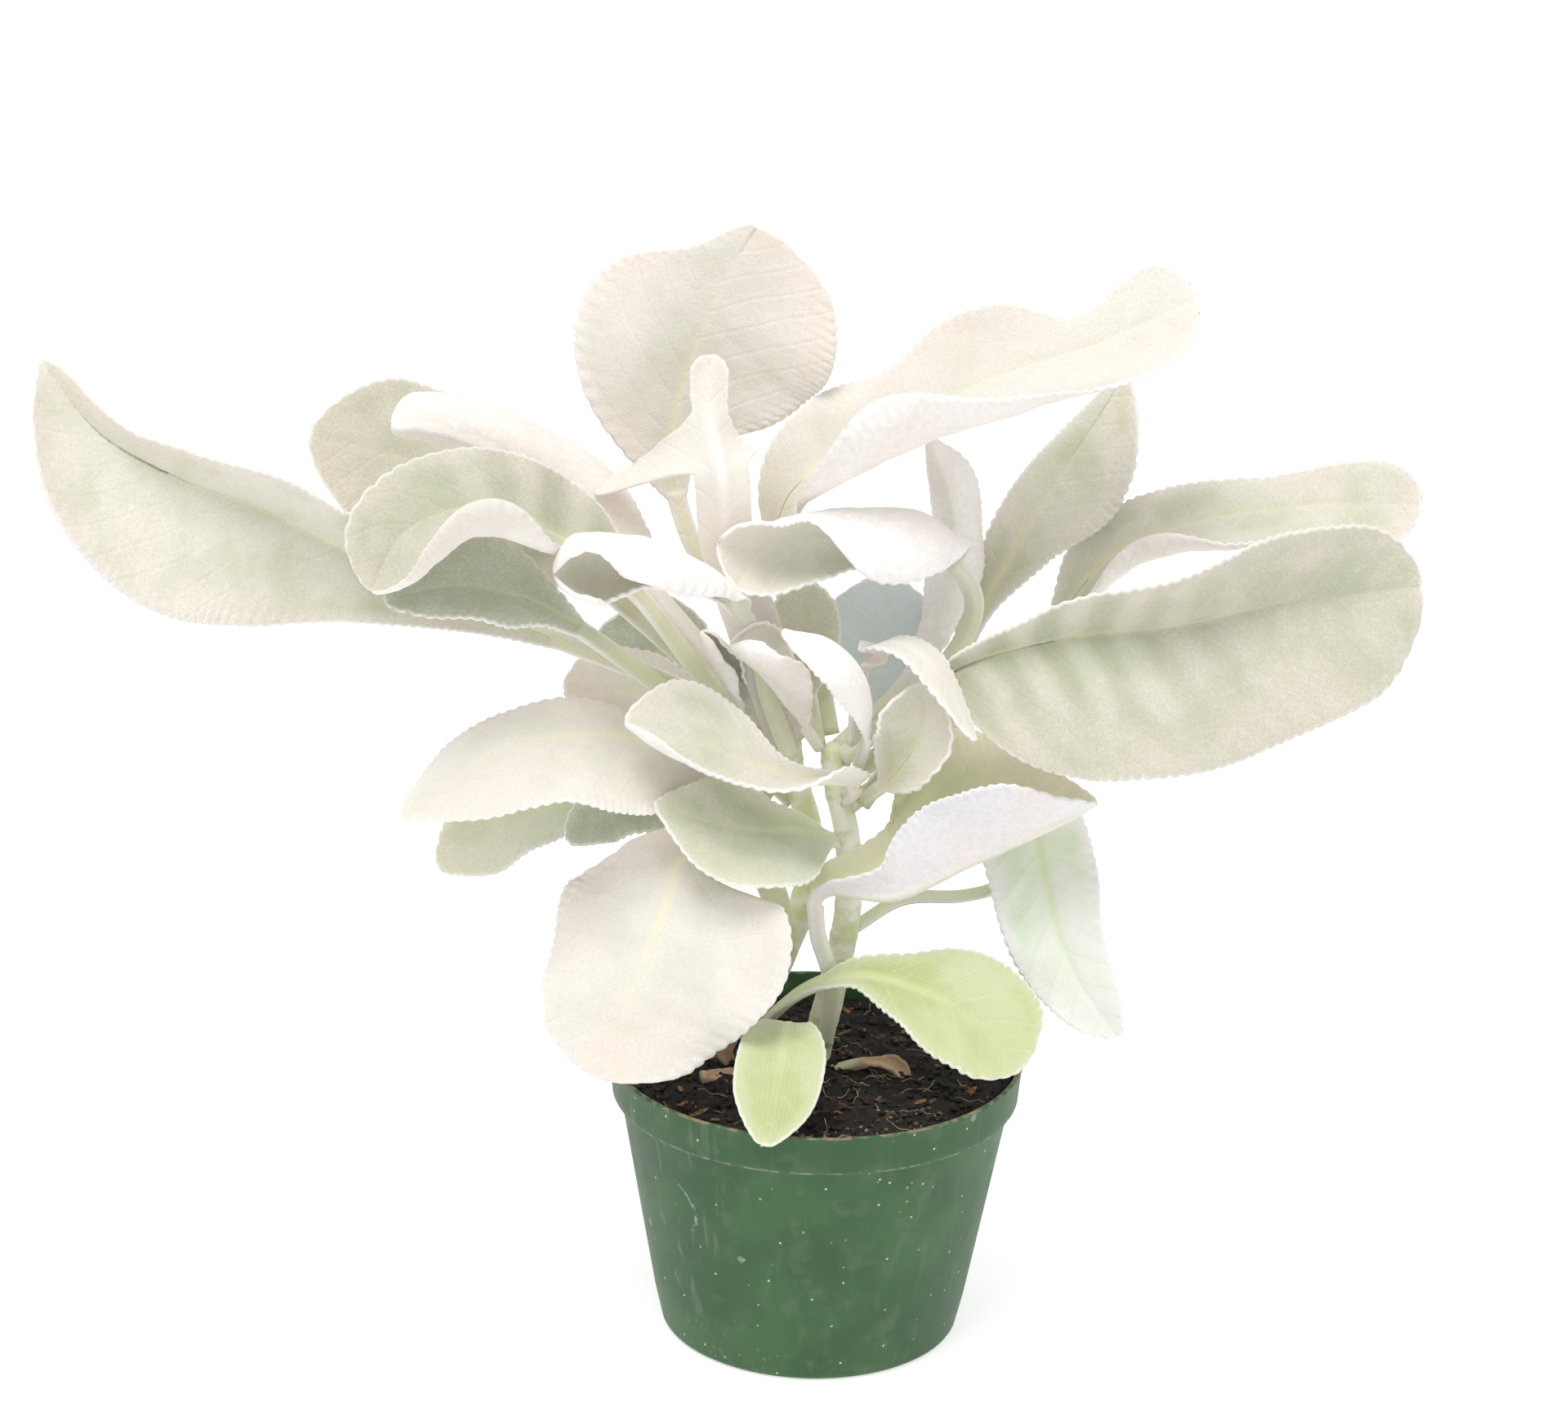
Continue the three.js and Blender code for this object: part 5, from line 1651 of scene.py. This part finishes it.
         (-72, 234, -38)), start=0.1, face=((-0.1, -0.6, 0.8), (-0.1, -0.6, 0.8), (0.1, -0.6, 0.8)),
         left=(14, 14, 16, 18, 12), right=(5, 8, 20, 22, 14), tip=0.84, fold=(8, 6, 10),
         curl_left=(10, 20, 60, 140), curl_right=(0, 0, 0, 30), fold_left=(80, 60, 8, 4, 8),
         ridge=0.5),
    Leaf("leaf_mid_left_back", Felt.PALE,
         line=((-11, 205, 28), (-38, 229, 34), (-66, 244, 28), (-94, 245, 20)), start=0.3,
         face=((0, -0.6, 0.8),), left=(10, 15, 16, 13), right=(11, 18, 19, 15)),
    Leaf("leaf_mid_left", Felt.PALE,
         line=((-9, 190, 17), (-34, 214, 4), (-74, 228, -14), (-112, 222, -28), (-153, 195, -38)),
         start=0.26, face=((-0.1, -0.5, 0.85), (-0.15, -0.5, 0.85), (-0.4, -0.5, 0.75)),
         left=(30, 34, 29, 22, 12), right=(12, 18, 20, 17, 10), fold=(4, 0, 0),
         curl_left=(-10, -16, 0), curl_right=(0, -6, 0)),
    Leaf("leaf_shaded_back", Felt.OLIVE_PAINTED_SHADE,
         line=((-12, 213, 29), (-36, 233, 54), (-58, 254, 66), (-62, 282, 70)), start=0.4,
         face=((0.2, -0.9, 0.3),), left=(16, 24, 24, 16), right=(14, 20, 20, 14)),
    Leaf("leaf_right_folded", Felt.LINED,
         line=((4, 110, 5), (6, 134, -2.6), (0, 156, -9), (3, 169, -13), (28, 169, -16),
         (53, 182, -18), (76, 194, -19), (99, 207, -18)), start=0.35, face=((-0.6, 0, 0.3),
         (-0.4, 0.1, 0.95), (-0.4, 0, 0.9), (-0.4, -0.1, 0.9)), left=(26, 54, 58, 46, 18),
         right=(12, 24, 31, 28, 12), fold_left=(34, 36, 36, 30), fold_right=(60, 74, 74, 50),
         stalk=4.2),
    Leaf("leaf_left_low", Felt.SAGE,
         line=((5, 190, 12), (-10, 193, -2), (-32, 193, -24), (-61, 202, -38)), start=0.04,
         face=((0, -0.6, 0.8),), left=(18, 26, 27, 20, 12), right=(12, 21, 25, 16, 8),
         fold=(6, 4, 2), ridge=0.5),
    Leaf("leaf_left_hanging", Felt.SAGE,
         line=((-12, 188, 36), (-46, 202, 48), (-84, 203, 50), (-114, 194, 46), (-139, 176, 40)),
         start=0.42, face=((-0.1, -0.7, 0.7), (-0.1, -0.7, 0.7), (-0.3, -0.7, 0.6)),
         left=(8, 14, 17, 17, 12), right=(8, 13, 16, 16, 12)),
    Leaf("leaf_left_shaded", Felt.OLIVE_PAINTED_SHADE,
         line=((-11, 178, 30), (-36, 196, 32), (-62, 202, 28), (-80, 198, 24), (-92, 187, 18)),
         start=0.4, face=((-0.1, -0.7, 0.7), (-0.1, -0.7, 0.7), (-0.3, -0.7, 0.6)),
         left=(9, 13, 13, 9), right=(8, 10, 10, 8)),
    Leaf("leaf_left_drooping", Felt.PALE,
         line=((-24, 116, 23), (-18, 140, 14), (-15, 160, 6), (-22, 178, -2), (-37, 187, -12),
         (-50, 182, -24), (-57, 160, -36), (-67, 132, -44), (-80, 94, -52)), start=0.52,
         face=((0, -0.9, 0.35), (-0.2, -0.8, 0.55), (-0.15, -0.9, 0.4), (0, -0.98, 0.1)),
         left=(34, 38, 43, 48, 50, 49, 46, 42, 37, 32, 27, 20),
         right=(10, 22, 33, 38, 39, 38, 36, 34, 32, 28, 25, 21), tip=0.84, fold=(-4, -6, 0), stalk=5),
    Leaf("leaf_right_drooping", Felt.MINT,
         line=((12, 156, 14), (30, 168, 32), (52, 170, 44), (66, 176, 42), (76, 196, 28),
         (81, 180, 10), (87, 156, -4), (97, 135, -10), (111, 116, -12)), start=0.47,
         face=((-0.3, -0.6, 0.7), (-0.3, -0.6, 0.7), (-0.3, -0.85, 0.4), (-0.4, -0.9, 0.1)),
         left=(18, 20, 19, 16, 12, 7), right=(20, 21, 20, 18, 13, 8), tip=0.86, fold=(10,),
         stalk=2.4, ridge=0.8),
    Leaf("leaf_right_low", Felt.GREEN,
         line=((-20, 117, 24), (-9, 128, 2), (4, 135, -12), (18, 137, -17), (40, 131, -24),
         (60, 119, -32), (76, 102, -38)), start=0.38, face=((0.1, -0.6, 0.8), (0.1, -0.6, 0.8),
         (0.2, -0.8, 0.6)), left=(8, 13, 21, 25, 23, 16), right=(6, 14, 20, 22, 20, 14), tip=0.84,
         fold=(10, 6, 4)),
    Leaf("leaf_front_small", Felt.GREEN,
         line=((-4, 107, 11), (-9, 112, -6), (-11, 117, -34), (-13, 101, -58), (-18, 68, -84)),
         start=0.36, face=((0, -0.4, 0.9), (0, -0.7, 0.7), (0, -0.95, 0.2)),
         left=(10, 15, 16, 14, 10), tip=0.7, fold=(6, 2, 0), stalk=2.8, teeth=0.25),
    Leaf("leaf_heart_back", Felt.BLUE_PAINTED_SHADE,
         line=((5, 216, 19), (14, 240, 44), (20, 266, 52), (20, 292, 54)), start=0.3,
         face=((0, -0.9, 0.3),), left=(16, 24, 24, 16), right=(12, 18, 18, 12), fold=(10, 8, 6),
         stalk=2.8),
)

LITTER = (
    Leaf("litter_dried_leaf", Felt.DRY,
         line=((2, 97.5, 5), (11, 101, 3), (20, 103, 0), (28, 101.5, -2), (35, 95.5, -3)),
         start=0.5, face=((0, -0.5, 0.8), (0, -0.3, 0.9), (0.3, -0.4, 0.8)), left=(2.5, 5, 4.5, 2),
         right=(2.5, 4, 3.5, 2), curl_left=(60, 100, 90), curl_right=(30, 70, 50), stalk=2,
         teeth=0.3),
    Leaf("litter_dried_scrap", Felt.DRY,
         line=((-30, 98, 8), (-34, 107, 6), (-33, 117, 6)), start=0.1, face=((0.3, -0.9, 0.2),
         (-0.3, -0.9, 0.2)), left=(3, 4, 3), right=(3, 5, 3), stalk=2, teeth=0.3),
    Leaf("litter_wood_chip", Felt.DRY,
         line=((-42, 95, -8), (-32, 96, -5), (-23, 96, -3)), start=0.1, face=((0, -0.2, 0.9),),
         left=(4, 4), stalk=3, tip=0.97, teeth=0.3),
)


# Studio


@dataclass(frozen=True)
class Lamp:
    """A soft square lamp that shines at the plant, in metres and watts."""

    name: str
    place: Triple
    size: float
    power: float

    AIM = (0.0, 0.0, 0.2)

    def build(self) -> bpy.types.Object:
        """Returns the lamp, in the scene."""
        light = bpy.data.lights.new(self.name, "AREA")
        light.size = self.size
        light.energy = self.power
        lamp = bpy.data.objects.new(self.name, light)
        lamp.location = self.place
        ahead = Vector(self.AIM) - Vector(self.place)
        lamp.rotation_euler = ahead.to_track_quat("-Z", "Y").to_euler()
        bpy.context.scene.collection.objects.link(lamp)
        return lamp


@dataclass(frozen=True)
class Studio:
    """A white room with a glowing floor, a soft lamp above the front and a faint one at the right."""

    floor_half: float = 6.0
    floor_grey: float = 0.6
    room: float = 0.72
    glow: float = 0.62
    sensor: float = 36.0
    sight: float = 50.0
    lamps: tuple[Lamp, ...] = (
        Lamp("lamp_0", (-0.5, -0.9, 2.6), 1.3, 40.0),
        Lamp("lamp_1", (1.6, -0.6, 1.2), 1.2, 4.0),
    )

    WHITE = (1.0, 1.0, 1.0, 1.0)

    def build(self) -> None:
        """Makes the camera, the room, the lamps and the floor."""
        self.camera()
        scene = bpy.context.scene
        scene.view_settings.view_transform = "Standard"
        world = bpy.data.worlds.new("room")
        scene.world = world
        world.use_nodes = True
        back = next(n for n in world.node_tree.nodes if n.type == "BACKGROUND")
        back.inputs["Color"].default_value = self.WHITE
        back.inputs["Strength"].default_value = self.room
        for lamp in self.lamps:
            lamp.build()
        bm = bmesh.new()
        bmesh.ops.create_grid(bm, x_segments=2, y_segments=2, size=self.floor_half)
        floor = linked("floor", bm)
        grey = (self.floor_grey, self.floor_grey, self.floor_grey, 1.0)
        glow = {"Emission_Color": self.WHITE, "Emission_Strength": self.glow}
        floor.data.materials.append(Tree("floor_white").finish(grey, 0.9, **glow))

    def camera(self) -> None:
        """Makes the camera at the photograph's angle, tipped by its small roll."""
        rise, roll = math.radians(EYE.rise), math.radians(EYE.roll)
        right = Vector((1.0, 0.0, 0.0))
        up = Vector((0.0, math.sin(rise), math.cos(rise)))
        back = Vector((0.0, -math.cos(rise), math.sin(rise)))
        x = math.cos(roll) * right - math.sin(roll) * up
        y = math.sin(roll) * right + math.cos(roll) * up
        data = bpy.data.cameras.new("camera")
        data.sensor_fit = "HORIZONTAL"
        data.sensor_width = self.sensor
        data.lens = EYE.lens
        data.clip_end = self.sight
        camera = bpy.data.objects.new("camera", data)
        turn = Matrix((x, y, back)).transposed().to_4x4()
        camera.matrix_world = Matrix.Translation(EYE.place() * MM) @ turn
        bpy.context.scene.collection.objects.link(camera)
        bpy.context.scene.camera = camera


def main() -> None:
    """Builds the studio, the pot, its soil and the plant."""
    logging.basicConfig(level=logging.INFO, format="%(message)s")
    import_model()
    Studio().build()
    POT.build()
    Soil().build()
    for piece in (*STEMS, *LEAVES, *LITTER):
        piece.build()


if __name__ == "__main__":
    main()
